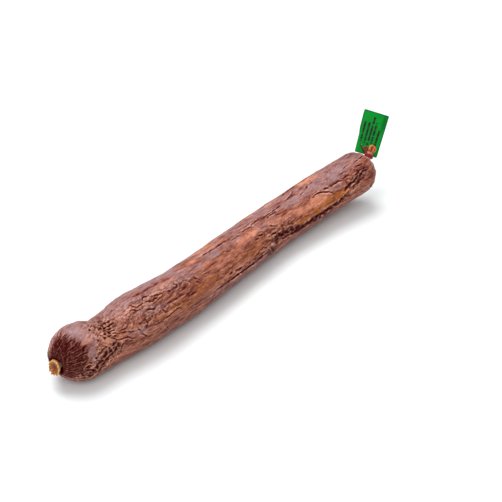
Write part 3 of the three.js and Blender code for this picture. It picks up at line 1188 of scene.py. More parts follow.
@dataclass
class SkinRelief:
    """Works out the skin's height and tones over a grid of rows and columns."""

    rows: dict[str, np.ndarray]
    angle: np.ndarray
    points: np.ndarray
    pleats: tuple[int, int]
    seed: int

    def __post_init__(self) -> None:
        """Prepares the coordinates that every feature is placed by, slightly wandering."""
        self.x = self.rows["x"][:, None]
        wander = GradientNoise(self.seed)
        across = GradientNoise(self.seed + 1)
        self.radius = np.maximum(self.rows["radius"], 5.0)[:, None]
        drift = 1.5 * wander.layered(self.points / 9.0, 3)
        side = 1.1 * across.layered(self.points / 7.0, 3)
        self.run = self.rows["run"][:, None] + drift
        self.round = np.broadcast_to(np.degrees(self.angle)[None, :], self.points.shape[:2])
        self.round = self.round + np.degrees(side / self.radius)
        # Painted shade for furrows, pleats, cells and folds, which the crease tone reads.
        self.furrow_shade = np.zeros(self.points.shape[:2])
        self.web = np.zeros(self.points.shape[:2])
        self.broken = 0.25 + 0.75 * smooth(0.7 + 1.1 * wander.at(self.points / 6.0 + 55.0))

    def shade_furrows(self, share: np.ndarray) -> None:
        """Adds to the painted shade of the furrows, keeping whichever is the deeper."""
        self.furrow_shade = np.maximum(self.furrow_shade, share)

    def stirred(self, noise: GradientNoise, by: float, cell: float, apart: float) -> np.ndarray:
        """The grid's points moved about, so that a pattern read at them is uneven.

        Args:
            noise: What moves them.
            by: How far, in millimetres.
            cell: How wide the noise's cells are.
            apart: How far apart in the noise the three directions are read.

        Returns:
            The moved points.
        """
        moved = self.points.copy()
        for axis in range(3):
            moved[..., axis] += by * noise.layered(self.points / cell + apart * axis, 2)
        return moved

    def run_at(self, x: float) -> float:
        """Distance along the skin of a place given by its x."""
        return float(np.interp(x, self.rows["x"], self.rows["run"]))

    def turned(self, angle: float) -> np.ndarray:
        """Degrees from an angle to every point, the short way round."""
        return (self.round - angle + 180.0) % 360.0 - 180.0

    def inside(self, place: Zone | Patch, soft: float = 0.5) -> np.ndarray:
        """How far inside a zone or patch each point is.

        Args:
            place: The zone or patch.
            soft: The share of it that its soft edge takes up.

        Returns:
            1 in the middle, falling to 0 just past the edge.
        """
        along = (self.run - self.run_at(place.x)) / place.half_length
        middle = self.turned(place.angle) - place.climb * along * place.half_length
        distance = np.sqrt(along**2 + (middle / place.half_height) ** 2)
        return smooth((1 + soft / 2 - distance) / soft)

    def carve(self, crease: Crease) -> np.ndarray:
        """The height that a crease adds. Its floor joins the painted shade of the furrows.

        Args:
            crease: The crease.

        Returns:
            Height in millimetres, below 0 in the furrow and above it on the lips.
        """
        total = len(crease.path) - 1
        nearest = np.full(self.run.shape, np.inf)
        share = np.zeros(self.run.shape)
        for step, (a, b) in enumerate(zip(crease.path, crease.path[1:])):
            start, end = self.run_at(a[0]), self.run_at(b[0])
            ahead = self.run - start
            beside = np.radians(self.turned(a[1])) * self.radius
            leg = np.radians(b[1] - a[1]) * self.radius
            length2 = (end - start) ** 2 + leg**2
            t = clamp01((ahead * (end - start) + beside * leg) / length2)
            distance = np.hypot(ahead - t * (end - start), beside - t * leg)
            closer = distance < nearest
            nearest = np.where(closer, distance, nearest)
            share = np.where(closer, (step + t) / total, share)
        taper = (1 - np.abs(2 * share - 1) ** 4 * 0.85) * self.broken
        groove = hump(nearest, crease.width) * taper
        lips = hump(nearest - 2.0 * crease.width, crease.width) * taper
        # Painted shade on the groove's floor.
        self.shade_furrows(0.8 * groove * crease.red * min(1.0, crease.depth))
        return crease.lip * lips - 0.7 * crease.depth * groove

    def head_pleats(self) -> np.ndarray:
        """The fine pleats that run over the head's face into the rosette."""
        ripple = GradientNoise(self.seed + 2)
        fine, wide = self.pleats
        uneven = 1.1 * ripple.at(self.points / 11.0) + 0.5 * ripple.at(self.points / 4.5)
        wave = np.sin(np.radians(self.round) * fine + 3.0 * uneven)
        wave = 0.65 * wave + 0.6 * np.sin(np.radians(self.round) * wide + 3.6 * uneven)
        share = smooth((26 + 5 * ripple.at(self.points / 13.0) - self.x) / 9)
        share = share * np.clip(self.radius / 20.0, 0.25, 1.0)
        strength = 0.75 + 0.6 * ripple.at(self.points / 6.0 + 9.1)
        # Painted shade in the pleats' valleys.
        self.shade_furrows(share * strength * smooth(-wave * 1.1 - 0.1) * 0.85)
        return 0.55 * share * strength * wave

    def zoned(self, zones: tuple[Zone, ...]) -> np.ndarray:
        """How far inside any of the zones each point is."""
        return np.maximum.reduce([self.inside(zone, 0.8) for zone in zones])

    def webbed(self) -> np.ndarray:
        """Thin raised webs round sunken cells, behind and under the head's dome."""
        warp = GradientNoise(self.seed + 3)
        moved = self.stirred(warp, 2.0, 6.5, 31.0)
        cell = CrackNoise(self.seed + 4).at(moved / np.array([7.5, 4.6, 4.6]))
        share = self.zoned(WEBBED) * smooth(0.6 + 1.1 * warp.at(self.points / 8.0 + 4.0))
        web = hump(cell, 0.15)
        self.web = share * web
        # Painted shade in the sunken cells.
        self.shade_furrows(0.55 * share * smooth((cell - 0.16) / 0.3))
        return share * (0.9 * web - 0.5 * smooth(cell / 0.4))

    def crumpled(self) -> np.ndarray:
        """Rounded folds of slack skin with pinched valleys, strongest in their own zones."""
        warp = GradientNoise(self.seed + 9)
        moved = self.stirred(warp, 2.6, 12.0, 13.0)
        folds = GradientNoise(self.seed + 10)
        wide = np.abs(folds.at(moved / np.array([34.0, 7.5, 7.5])))
        narrow = np.abs(folds.at(moved / np.array([17.0, 3.8, 3.8]) + 7.7))
        share = 0.14 + 0.86 * self.zoned(RUMPLED)
        pinched = hump(wide, 0.17) + 0.6 * hump(narrow, 0.2)
        strong = smooth(0.5 + 1.2 * warp.at(self.points / 14.0 + 3.0))
        # Painted shade in the pinched valleys.
        self.shade_furrows(0.3 * share * strong * clamp01(pinched))
        return share * (1.7 * np.minimum(wide, 0.6) + 0.8 * np.minimum(narrow, 0.6))

    def muscle(self) -> np.ndarray:
        """Broad unevenness, lengthwise ridges and the gathered neck's folds."""
        broad = GradientNoise(self.seed + 6)
        ridge = GradientNoise(self.seed + 7)
        stretched = self.points / np.array([70.0, 8.5, 8.5])
        fibre = self.points / np.array([34.0, 3.4, 3.4])
        height = 0.8 * broad.at(self.points / 42.0) + 0.45 * broad.at(self.points / 17.0)
        height += 0.45 * (0.5 - np.abs(ridge.layered(stretched, 2)))
        height += 0.16 * ridge.layered(fibre, 2)
        gather = 0.45 * smooth((self.x - 505) / 30) + 0.55 * smooth((self.x - 538) / 12)
        folds = np.sin(np.radians(self.round) * 13 + 2.0 * ridge.at(self.points / 14.0))
        room = np.clip(self.radius / 14.0, 0.15, 1.0)
        # Painted shade in the neck's fold valleys.
        self.shade_furrows(0.5 * gather * room * smooth(-folds * 1.5 - 0.4))
        calm = 1 - 0.75 * smooth((self.x - 548) / 8)
        return height * calm + 0.9 * gather * room * folds

    def rolls(self) -> np.ndarray:
        """The waist behind the head, the clear roll along the lower front and two bulges."""
        waist = self.inside(Zone(76, 72, 17, 52), 1.4)
        notch = self.inside(Zone(58, 70, 8, 62), 1.2)
        dome = self.inside(Zone(38, 72, 15, 56), 1.2)
        roll = self.inside(Zone(436, 163, 66, 12), 1.0)
        rim = self.inside(Zone(258, 174, 60, 3.2), 1.0)
        bulge = self.inside(Zone(428, 141, 40, 14), 1.2)
        return 1.3 * roll + 0.7 * rim + 0.9 * bulge - 1.2 * waist - 1.5 * notch + 1.2 * dome

    def height(self) -> np.ndarray:
        """The whole relief, in millimetres."""
        total = self.muscle() + self.rolls() + self.webbed() + self.crumpled()
        total += self.head_pleats()
        for crease in CREASES:
            total += self.carve(crease)
        return total

    def tones(self, height: np.ndarray) -> dict[str, np.ndarray]:
        """The numbers that the casing's material reads.

        Args:
            height: The skin's relief.

        Returns:
            For each name, a value from 0 to 1 at every row and column.
        """
        cloud = GradientNoise(self.seed + 8)
        painted = self.patched(cloud)
        face, pale = self.lean_face(cloud)
        self.strengthen(painted, "wine", face * (1.0 - 0.62 * pale))
        painted["mauve_and_sheen"] *= 1 - 0.75 * face
        self.strengthen(painted, "mauve_and_sheen", 0.8 * (self.radius < 28) * (1 - face))
        loose = np.maximum(self.zoned(RUMPLED) * 0.6, self.zoned(WEBBED) * 0.8)
        painted["slack"] = 0.1 + 0.9 * loose * (1 - 0.8 * face)
        # Painted sheen: mauve islands along the top of the loin.
        top = smooth((138 - self.round) / 50) * smooth((self.round + 10) / 50) * (1 - face)
        sheen_islands = cloud.layered(self.points / np.array([24.0, 9.0, 9.0]) + 40.0, 3)
        self.strengthen(painted, "mauve_and_sheen", top * smooth(0.5 + 2.6 * sheen_islands) * 0.95)
        local = height - self.blurred(height, 3)
        broad = height - self.blurred(height, 14)
        # Painted highlight on ridges and on the head's webs.
        painted["ridge"] = smooth((local - 0.04) / 0.3) * (0.85 - 0.6 * face)
        self.strengthen(painted, "ridge", 0.9 * self.web)
        painted["salmon"] *= 0.85
        self.strengthen(painted, "amber", 0.6 * self.web)
        painted["wine"] *= 1 - 0.8 * self.web
        # Painted shade in the furrows and in sunken places.
        sunken_shade = np.maximum(0, -local) * 2.0 + np.maximum(0, -broad) * 0.5
        painted["crease"] = 0.95 * smooth(self.furrow_shade + sunken_shade - 0.05)
        # Painted shade in the dimple round the rosette.
        hollow_shade = smooth((12.5 - self.radius) / 3) * (self.x < 12)
        self.strengthen(painted, "crease", hollow_shade)
        return {name: clamp01(values) for name, values in painted.items()}

    @staticmethod
    def strengthen(painted: dict[str, np.ndarray], name: str, share: np.ndarray) -> None:
        """Adds to one of the painted numbers, keeping whichever is the stronger."""
        painted[name] = np.maximum(painted[name], share)

    def patched(self, cloud: GradientNoise) -> dict[str, np.ndarray]:
        """The patches' tones, each patch with a ragged edge.

        Args:
            cloud: The noise that makes the edges ragged.

        Returns:
            For each tone's name, its strength at every row and column.
        """
        ragged = 0.45 * cloud.layered(self.points / np.array([11.0, 5.5, 5.5]), 3)
        painted = {tone.value: np.zeros(ragged.shape) for tone in Tone}
        for tone, rows in PATCHES.items():
            for patch in itertools.starmap(Patch, rows):
                edge = clamp01(self.inside(patch, 0.9) * (1 + ragged) + 0.25 * ragged)
                edge *= smooth(self.inside(patch, 1.4) * 3)
                self.strengthen(painted, tone.value, patch.strength * edge)
        return painted

    def lean_face(self, cloud: GradientNoise) -> tuple[np.ndarray, np.ndarray]:
        """The dark lean face of the head, with fingers of lean along its edge.

        Args:
            cloud: The noise that the fingers and the pale threads follow.

        Returns:
            How far each point is on the face, and how far it is on a pale thread over it.
        """
        arc = np.radians(self.round) * self.radius
        along = np.broadcast_to(self.run, arc.shape) / 26
        fingers = cloud.at(np.stack([along, arc / 3.2, 0 * arc], axis=-1))
        threads = cloud.at(np.stack([along, arc / 1.9, 0 * arc + 9], axis=-1))
        edge = 3.0 + 13.5 * smooth((self.round - 42) / 32) * smooth((236 - self.round) / 40)
        edge += 5.5 * hump(self.round - 160, 26) + 5.0 * fingers
        edge += 5.0 * hump(self.round - 128, 22)
        return smooth((edge - self.x) / 8.5 + 0.5), smooth(0.1 + 1.6 * threads)

    @staticmethod
    def blurred(values: np.ndarray, times: int) -> np.ndarray:
        """The values averaged with their neighbours a number of times.

        Args:
            values: By row and column, closed round the columns.
            times: How often to average.

        Returns:
            The softened values.
        """
        for _ in range(times):
            values = (np.roll(values, 1, 1) + 2 * values + np.roll(values, -1, 1)) / 4
            ends = np.vstack([values[:1], values, values[-1:]])
            values = (ends[:-2] + 2 * values + ends[2:]) / 4
        return values


# ---- Gathered ends ----


def circles(radius: np.ndarray, angle: np.ndarray, along: np.ndarray) -> np.ndarray:
    """Points on circles round an axis: two places across the axis, then the one along it."""
    across = (np.cos(angle) * radius, np.sin(angle) * radius)
    return np.stack(np.broadcast_arrays(*across, along), axis=-1)


@dataclass
class Rosette:
    """The gathered casing that stands in the head's dimple: a neck and a cupped, scalloped face."""

    radius: float = 8.0
    neck: float = 3.2
    face: float = 2.2
    root: float = 9.0
    tilt: float = math.radians(13)
    folds: int = 13
    columns: int = 130
    rings: int = 56
    # Where along the outline the neck's painted shade ends, the front starts, and the rim is.
    behind_until: float = 4.5
    front_from: float = 7.0
    rim_at: float = 6.4
    seed: int = 41

    def build(self, pole: np.ndarray) -> bpy.types.Mesh:
        """Makes the rosette at the head's pole.

        Args:
            pole: The head's pole in the frame, in millimetres.

        Returns:
            The mesh, painted with heart and crest.
        """
        knots = np.array([
            (self.neck, -self.root), (self.neck, -5.2), (self.neck + 0.6, self.face - 5.0),
            (0.72 * self.radius, self.face - 4.0), (0.93 * self.radius, self.face - 3.0),
            (self.radius, self.face - 1.6), (0.99 * self.radius, self.face - 0.5),
            (0.9 * self.radius, self.face), (0.76 * self.radius, self.face - 0.6),
            (0.55 * self.radius, self.face - 1.3), (0.32 * self.radius, self.face - 1.7),
            (0.12 * self.radius, self.face - 1.8),
        ])
        place = np.linspace(0, len(knots) - 1, self.rings)
        stations = range(len(knots))
        radius = through(tuple(zip(stations, knots[:, 0])), place)[:, None]
        out = through(tuple(zip(stations, knots[:, 1])), place)[:, None]
        angle = np.linspace(0, 2 * math.pi, self.columns, endpoint=False)[None, :]
        share = radius / self.radius
        ripple = GradientNoise(self.seed)
        uneven = ripple.layered(circles(radius, angle, out) / 3.2, 3)
        wave = np.sin(self.folds * angle + 2.4 * uneven + 2.0 * (1 - share))
        radius = radius * (1 + 0.05 * wave * share + 0.16 * uneven * share)
        out = out + 0.5 * wave * share + 0.9 * uneven * share
        side, up, out = np.moveaxis(circles(radius, angle, out), -1, 0)
        points = np.stack([
            up * math.sin(self.tilt) - out * math.cos(self.tilt),
            -side,
            up * math.cos(self.tilt) - out * math.sin(self.tilt),
        ], axis=-1)[::-1] + pole
        mesh = skin("rosette", points[:, ::-1])
        front = (place >= self.front_from)[:, None]
        # Painted shade on the back of the neck, deep in the dimple.
        behind = clamp01(self.behind_until - place)[:, None]
        heart = clamp01(1.1 - share * 1.9) * front + 0.6 * smooth(-wave * 1.6) * front + behind
        rim = hump(place[:, None] - self.rim_at, 0.9)
        # Painted highlight along the upper side of the rim, where light falls.
        lit_side = 0.5 + 0.5 * np.cos(angle - math.pi / 4)
        crest = clamp01(rim * lit_side * (0.8 + 0.3 * wave) + 0.15 * smooth(wave) * front)
        for name, values in (("heart", heart), ("crest", crest)):
            ordered = values[::-1][:, ::-1].reshape(-1)
            paint(mesh, name, np.append(ordered, [ordered[0], 0.0]))
        return mesh


@dataclass
class Tuft:
    """The short end of gathered casing above the far tie, crumpled into a few folded lobes."""

    start: float = 25.5
    end: float = 38.0
    swell: Stations = ((0, 3.4), (0.2, 3.6), (0.45, 4.4), (0.75, 4.5), (0.92, 3.4), (1, 1.4))
    folds: int = 5
    columns: int = 110
    seed: int = 52

    def build(self, base: np.ndarray, rise: float) -> bpy.types.Mesh:
        """Makes the tuft.

        Args:
            base: The far neck's base in the frame, in millimetres.
            rise: How far the neck's axis rises above level, in radians.

        Returns:
            The mesh, painted with heart and crest.
        """
        along = np.linspace(self.start, self.end, 48)[:, None]
        share = (along - self.start) / (self.end - self.start)
        angle = np.linspace(0, 2 * math.pi, self.columns, endpoint=False)[None, :]
        swell = through(self.swell, share[:, 0])[:, None]
        ripple = GradientNoise(self.seed)
        uneven = ripple.layered(circles(swell, angle, along) / 3.0, 3)
        wave = np.sin(self.folds * angle + 3.0 * uneven + 2.5 * share)
        radius = swell * (1 + (0.08 + 0.16 * share) * wave + 0.16 * uneven * share)
        lean = along + 0.9 * wave * share**2
        axis = np.array([math.cos(rise), 0.0, math.sin(rise)])
        upward = np.array([-math.sin(rise), 0.0, math.cos(rise)])
        side = np.array([0.0, 1.0, 0.0])
        points = (
            base + lean[..., None] * axis
            + (radius * np.cos(angle))[..., None] * side
            + (radius * np.sin(angle))[..., None] * upward
        )
        mesh = skin("casing_tuft", points)
        heart = clamp01(0.5 - 0.4 * share + 0.5 * smooth(-wave * 1.4 - 0.2))
        crest = clamp01(0.75 * smooth(wave * 1.3) * (0.4 + 0.6 * share))
        for name, values in (("heart", heart), ("crest", crest)):
            paint(mesh, name, np.append(values.reshape(-1), [0.3, 0.3]))
        return mesh


# ---- Twine ----


class MeshTree:
    """A Geometry Nodes tree, built once, that makes plain dressed meshes out of edges."""

    name: str
    inputs: dict[str, str]

    def tree(self) -> bpy.types.NodeTree:
        """The tree, built the first time it is asked for.

        Returns:
            A tree with the class's inputs and one for the material.
        """
        found = bpy.data.node_groups.get(self.name)
        if found is not None:
            return found
        tree = bpy.data.node_groups.new(self.name, "GeometryNodeTree")
        takes = {"Geometry": "Geometry", **self.inputs, "Material": "Material"}
        for label, kind in takes.items():
            tree.interface.new_socket(label, in_out="INPUT", socket_type="NodeSocket" + kind)
        tree.interface.new_socket("Geometry", in_out="OUTPUT", socket_type="NodeSocketGeometry")
        wire = Wiring(tree)
        into = wire.node("NodeGroupInput")
        lines = wire.node("GeometryNodeMeshToCurve", {"Mesh": into.outputs["Geometry"]})
        made = self.follow(wire, into, lines.outputs[0])
        solid = wire.node("GeometryNodeRealizeInstances", {"Geometry": made})
        dress = {"Geometry": solid.outputs[0], "Material": into.outputs["Material"]}
        dressed = wire.node("GeometryNodeSetMaterial", dress)
        wire.node("NodeGroupOutput", {"Geometry": dressed.outputs[0]})
        return tree

    def follow(
        self, wire: Wiring, into: bpy.types.Node, lines: bpy.types.NodeSocket
    ) -> bpy.types.NodeSocket:
        """Wires what the tree makes along the lines.

        Args:
            wire: The tree's wiring.
            into: Its input node.
            lines: The edges, as curves.

        Returns:
            The geometry, undressed.
        """
        raise NotImplementedError


class TwineTree(MeshTree):
    """Lays twisted strands along a path."""

    name = "twisted_twine"
    inputs = {
        "Strand Radius": "Float", "Lay Radius": "Float", "Strands": "Int", "Twist": "Float",
        "Step": "Float", "Unevenness": "Float", "Seed": "Int",
    }

    def follow(
        self, wire: Wiring, into: bpy.types.Node, lines: bpy.types.NodeSocket
    ) -> bpy.types.NodeSocket:
        """Wires copies of the path, each wound round it and swept with a round section.

        Args:
            wire: The tree's wiring.
            into: Its input node.
            lines: The path, as a curve.

        Returns:
            The strands.
        """
        takes = into.outputs
        even = wire.node(
            "GeometryNodeResampleCurve", {"Curve": lines, "Length": takes["Step"]}, mode="LENGTH"
        )
        copies = wire.node(
            "GeometryNodeDuplicateElements",
            {"Geometry": even.outputs[0], "Amount": takes["Strands"]}, domain="SPLINE",
        )
        run = wire.node("GeometryNodeSplineParameter").outputs["Length"]
        own_turn = wire.maths("MULTIPLY", copies.outputs["Duplicate Index"], 2 * math.pi)
        own_turn = wire.maths("DIVIDE", own_turn, takes["Strands"])
        rotated = wire.node("ShaderNodeVectorRotate", {
            "Vector": wire.node("GeometryNodeInputNormal").outputs[0],
            "Axis": wire.node("GeometryNodeInputTangent").outputs[0],
            "Angle": wire.maths("MULTIPLY_ADD", run, takes["Twist"], own_turn),
        })
        offset = wire.node(
            "ShaderNodeVectorMath", {0: rotated.outputs[0], "Scale": takes["Lay Radius"]},
            operation="SCALE",
        )
        wound = wire.node(
            "GeometryNodeSetPosition",
            {"Geometry": copies.outputs[0], "Offset": offset.outputs[0]},
        )
        swell = wire.node("FunctionNodeRandomValue", {
            2: wire.maths("SUBTRACT", 1.0, takes["Unevenness"]),
            3: wire.maths("ADD", 1.0, takes["Unevenness"]),
            "Seed": takes["Seed"],
        }, data_type="FLOAT")
        section = wire.node(
            "GeometryNodeCurvePrimitiveCircle", {"Resolution": 8, "Radius": 1.0}, mode="RADIUS"
        )
        swept = wire.node("GeometryNodeCurveToMesh", {
            "Curve": wound.outputs[0], "Profile Curve": section.outputs[0], "Fill Caps": True,
            "Scale": wire.maths("MULTIPLY", swell.outputs[1], takes["Strand Radius"]),
        })
        return swept.outputs[0]


def grown(
    name: str, seed_mesh: bpy.types.Mesh, tree: bpy.types.NodeTree, values: dict[str, object]
) -> bpy.types.Mesh:
    """Runs a Geometry Nodes tree on a mesh and gives the result as a plain mesh.

    Args:
        name: The new mesh's name.
        seed_mesh: What the tree starts from.
        tree: The tree.
        values: The tree's named inputs.

    Returns:
        The finished mesh.
    """
    holder = in_scene(name + "_seed", seed_mesh)
    modifier = holder.modifiers.new(tree.name, "NODES")
    modifier.node_group = tree
    for item in tree.interface.items_tree:
        if item.in_out == "INPUT" and item.name in values:
            modifier[item.identifier] = values[item.name]
    shown = holder.evaluated_get(bpy.context.evaluated_depsgraph_get())
    mesh = bpy.data.meshes.new_from_object(shown)
    mesh.name = name
    bpy.data.objects.remove(holder)
    mesh.shade_smooth()
    return mesh


def path_mesh(name: str, points: np.ndarray) -> bpy.types.Mesh:
    """A chain of edges through points in millimetres, for a tree to follow."""
    mesh = bpy.data.meshes.new(name)
    edges = [(i, i + 1) for i in range(len(points) - 1)]
    mesh.from_pydata((np.asarray(points) * MM).tolist(), edges, [])
    return mesh


def rounded(points: np.ndarray, per_leg: int = 8) -> np.ndarray:
    """A smooth run through a few points.

    Args:
        points: The points to pass through.
        per_leg: How many points to put on each leg.

    Returns:
        The finer run of points.
    """
    points = np.asarray(points, float)
    knots = np.concatenate([[0], np.cumsum(np.linalg.norm(np.diff(points, axis=0), axis=1))])
    wanted = np.interp(
        np.linspace(0, len(points) - 1, per_leg * (len(points) - 1) + 1),
        np.arange(len(points)), knots,
    )
    return np.stack([through(tuple(zip(knots, points[:, k])), wanted) for k in range(3)], axis=-1)


@dataclass(frozen=True)
class Twine:
    """A kind of twine: its thickness in millimetres, and how it is laid."""

    thickness: float
    finish: TwineFinish
    strands: int = 3
    turns_per_mm: float = 0.16
    unevenness: float = 0.06
    strand_share: float = 0.29
    step: float = 0.3

    def laid(self, name: str, points: np.ndarray, seed: int) -> bpy.types.Mesh:
        """Lays the twine along a run of points.

        Args:
            name: The mesh's name.
            points: The run, in millimetres, in the frame.
            seed: Number that fixes its unevenness.

        Returns:
            The mesh.
        """
        strand = self.strand_share * self.thickness
        values = {
            "Strand Radius": strand * MM,
            "Lay Radius": (self.thickness / 2 - strand) * MM,
            "Strands": self.strands,
            "Twist": 2 * math.pi * self.turns_per_mm / MM,
            "Step": self.step * MM,
            "Unevenness": self.unevenness,
            "Seed": seed,
            "Material": bpy.data.materials.get(self.finish.name) or self.finish.material(),
        }
        return grown(name, path_mesh(name + "_path", points), TwineTree().tree(), values)


def joined(name: str, meshes: list[bpy.types.Mesh]) -> bpy.types.Mesh:
    """Joins meshes that share their materials into one.

    Args:
        name: The joined mesh's name.
        meshes: The meshes, which are used up.

    Returns:
        The joined mesh.
    """
    points: list = []
    faces: list = []
    for mesh in meshes:
        offset = len(points)
        points += [vertex.co[:] for vertex in mesh.vertices]
        faces += [[v + offset for v in polygon.vertices] for polygon in mesh.polygons]
    made = bpy.data.meshes.new(name)
    made.from_pydata(points, [], faces)
    made.materials.append(meshes[0].materials[0])
    made.shade_smooth()
    return made


@dataclass(frozen=True)
class Axis:
    """A straight axis with two directions across it, for what is wound round a neck."""

    origin: np.ndarray
    along: np.ndarray
    across: np.ndarray

    def point(self, along: float, radius: float, angle: float) -> np.ndarray:
        """A point at a distance along the axis and out from it, at an angle round it."""
        third = np.cross(self.along, self.across)
        out = math.cos(angle) * self.across + math.sin(angle) * third
        return self.origin + along * self.along + radius * out


@dataclass
class NearTie:
    """Thin pale twine sunk round the near neck, whose cut end shows below the rosette."""

    twine: Twine
    neck: float = 3.2
    gap: float = 0.3
    middle: float = -4.4
    turns: float = 2.1
    end_route: Stations = ((-2.2, 6.9), (0.2, 8.3), (2.4, 8.9))

    def build(self, pole: np.ndarray, tilt: float) -> bpy.types.Mesh:
        """Makes the winding and the cut end.

        Args:
            pole: The head's pole in the frame, in millimetres.
            tilt: How far the neck points down, in radians.

        Returns:
            The mesh.
        """
        out = np.array([-math.cos(tilt), 0.0, -math.sin(tilt)])
        down = np.array([math.sin(tilt), 0.0, -math.cos(tilt)])
        axis = Axis(pole, out, down)
        radius = self.neck + self.gap + self.twine.thickness / 2
        pitch = 0.95 * self.twine.thickness
        start = self.middle + pitch * self.turns / 2
        turns = np.linspace(-self.turns, 0, 72)
        run = [axis.point(start + pitch * t, radius, 2 * math.pi * t) for t in turns]
        run += [pole + a * out + d * down for a, d in self.end_route]
        return self.twine.laid("near_twine", rounded(np.array(run), 2), 7)


@dataclass
class FarTie:
    """Red twine wound twice round the far neck and knotted into a small standing loop."""

    twine: Twine
    neck: float = 3.8
    gap: float = 0.3
    middle: float = 22.5
    turns: float = 2.3
    loop_middle: tuple[float, float, float] = (566.4, -3.8, 67.2)
    loop_radius: float = 2.6
    loop_gap: float = 0.15
    knot_turns: float = 1.6
    knot_radius: float = 0.75

    def build(self, form: LoinForm, shift: np.ndarray, facing: Matrix) -> bpy.types.Mesh:
        """Makes the winding, the knot and the loop.

        Args:
            form: The loin's plain form.
            shift: How far the frame's place is from the form's own, in millimetres.
            facing: The tag's turn, in whose plane the loop stands.

        Returns:
            The mesh.
        """
        along = np.array([math.cos(form.neck_rise), 0.0, math.sin(form.neck_rise)])
        axis = Axis(shift + np.array(form.neck_base), along, np.array([0.0, 1.0, 0.0]))
        radius = self.neck + self.gap + self.twine.thickness / 2
        pitch = 0.912 * self.twine.thickness
        wound = np.array([
            axis.point(self.middle + pitch * t, radius, 2 * math.pi * t)
            for t in np.linspace(-self.turns / 2, self.turns / 2, 90)
        ])
        across = np.array(facing.col[0].xyz)
        up = np.array(facing.col[2].xyz)
        foot = axis.point(self.middle, radius, 0)
        loop_centre = shift + np.array(self.loop_middle)
        toward = (foot - loop_centre) / np.linalg.norm(foot - loop_centre)
        bottom = math.atan2(toward @ up, toward @ across)
        first, last = bottom + self.loop_gap, bottom + 2 * math.pi - self.loop_gap
        loop = [
            loop_centre + self.loop_radius * (math.cos(a) * across + math.sin(a) * up)
            for a in np.linspace(first, last, 40)
        ]
        normal = np.cross(across, up)
        aside = 0.9 * normal - 0.4 * along
        run = np.vstack([[foot + aside], loop, [foot - aside]])
        knot_axis = Axis(foot - 0.3 * self.loop_radius * toward, -toward, normal)
        knot = np.array([
            knot_axis.point(0.55 * t * self.twine.thickness, self.knot_radius, 2 * math.pi * t)
            for t in np.linspace(0, self.knot_turns, 46)
        ])
        parts = [
            self.twine.laid("winding", wound, 11),
            self.twine.laid("loop", run, 12),
            self.twine.laid("knot", knot, 13),
        ]
        return joined("far_twine", parts)


# ---- Tag ----


class DashTree(MeshTree):
    """Breaks lines into short printed dashes."""

    name = "printed_dashes"
    inputs = {
        "Pitch": "Float", "Size": "Vector", "Kept": "Float", "Seed": "Int", "Turn": "Rotation",
    }

    def follow(
        self, wire: Wiring, into: bpy.types.Node, lines: bpy.types.NodeSocket
    ) -> bpy.types.NodeSocket:
        """Wires points along each line, some left out, each a thin flat block of uneven size.

        Args:
            wire: The tree's wiring.
            into: Its input node.
            lines: The lines, as curves.

        Returns:
            The dashes, as instances.
        """
        takes = into.outputs
        dots = wire.node(
            "GeometryNodeCurveToPoints", {"Curve": lines, "Length": takes["Pitch"]}, mode="LENGTH"
        )
        kept = wire.node(
            "FunctionNodeRandomValue", {"Probability": takes["Kept"], "Seed": takes["Seed"]},
            data_type="BOOLEAN",
        )
        block = wire.node("GeometryNodeMeshCube", {"Size": takes["Size"]})
        placed = wire.node("GeometryNodeInstanceOnPoints", {
            "Points": dots.outputs["Points"], "Selection": kept.outputs[3],
            "Instance": block.outputs["Mesh"], "Rotation": takes["Turn"],
        })
        uneven = wire.node(
            "FunctionNodeRandomValue",
            {0: (0.8, 1.0, 0.55), 1: (1.15, 1.0, 1.1), "Seed": takes["Seed"]},
            data_type="FLOAT_VECTOR",
        )
        scaled = wire.node(
            "GeometryNodeScaleInstances",
            {"Instances": placed.outputs[0], "Scale": uneven.outputs[0]},
        )
        return scaled.outputs[0]


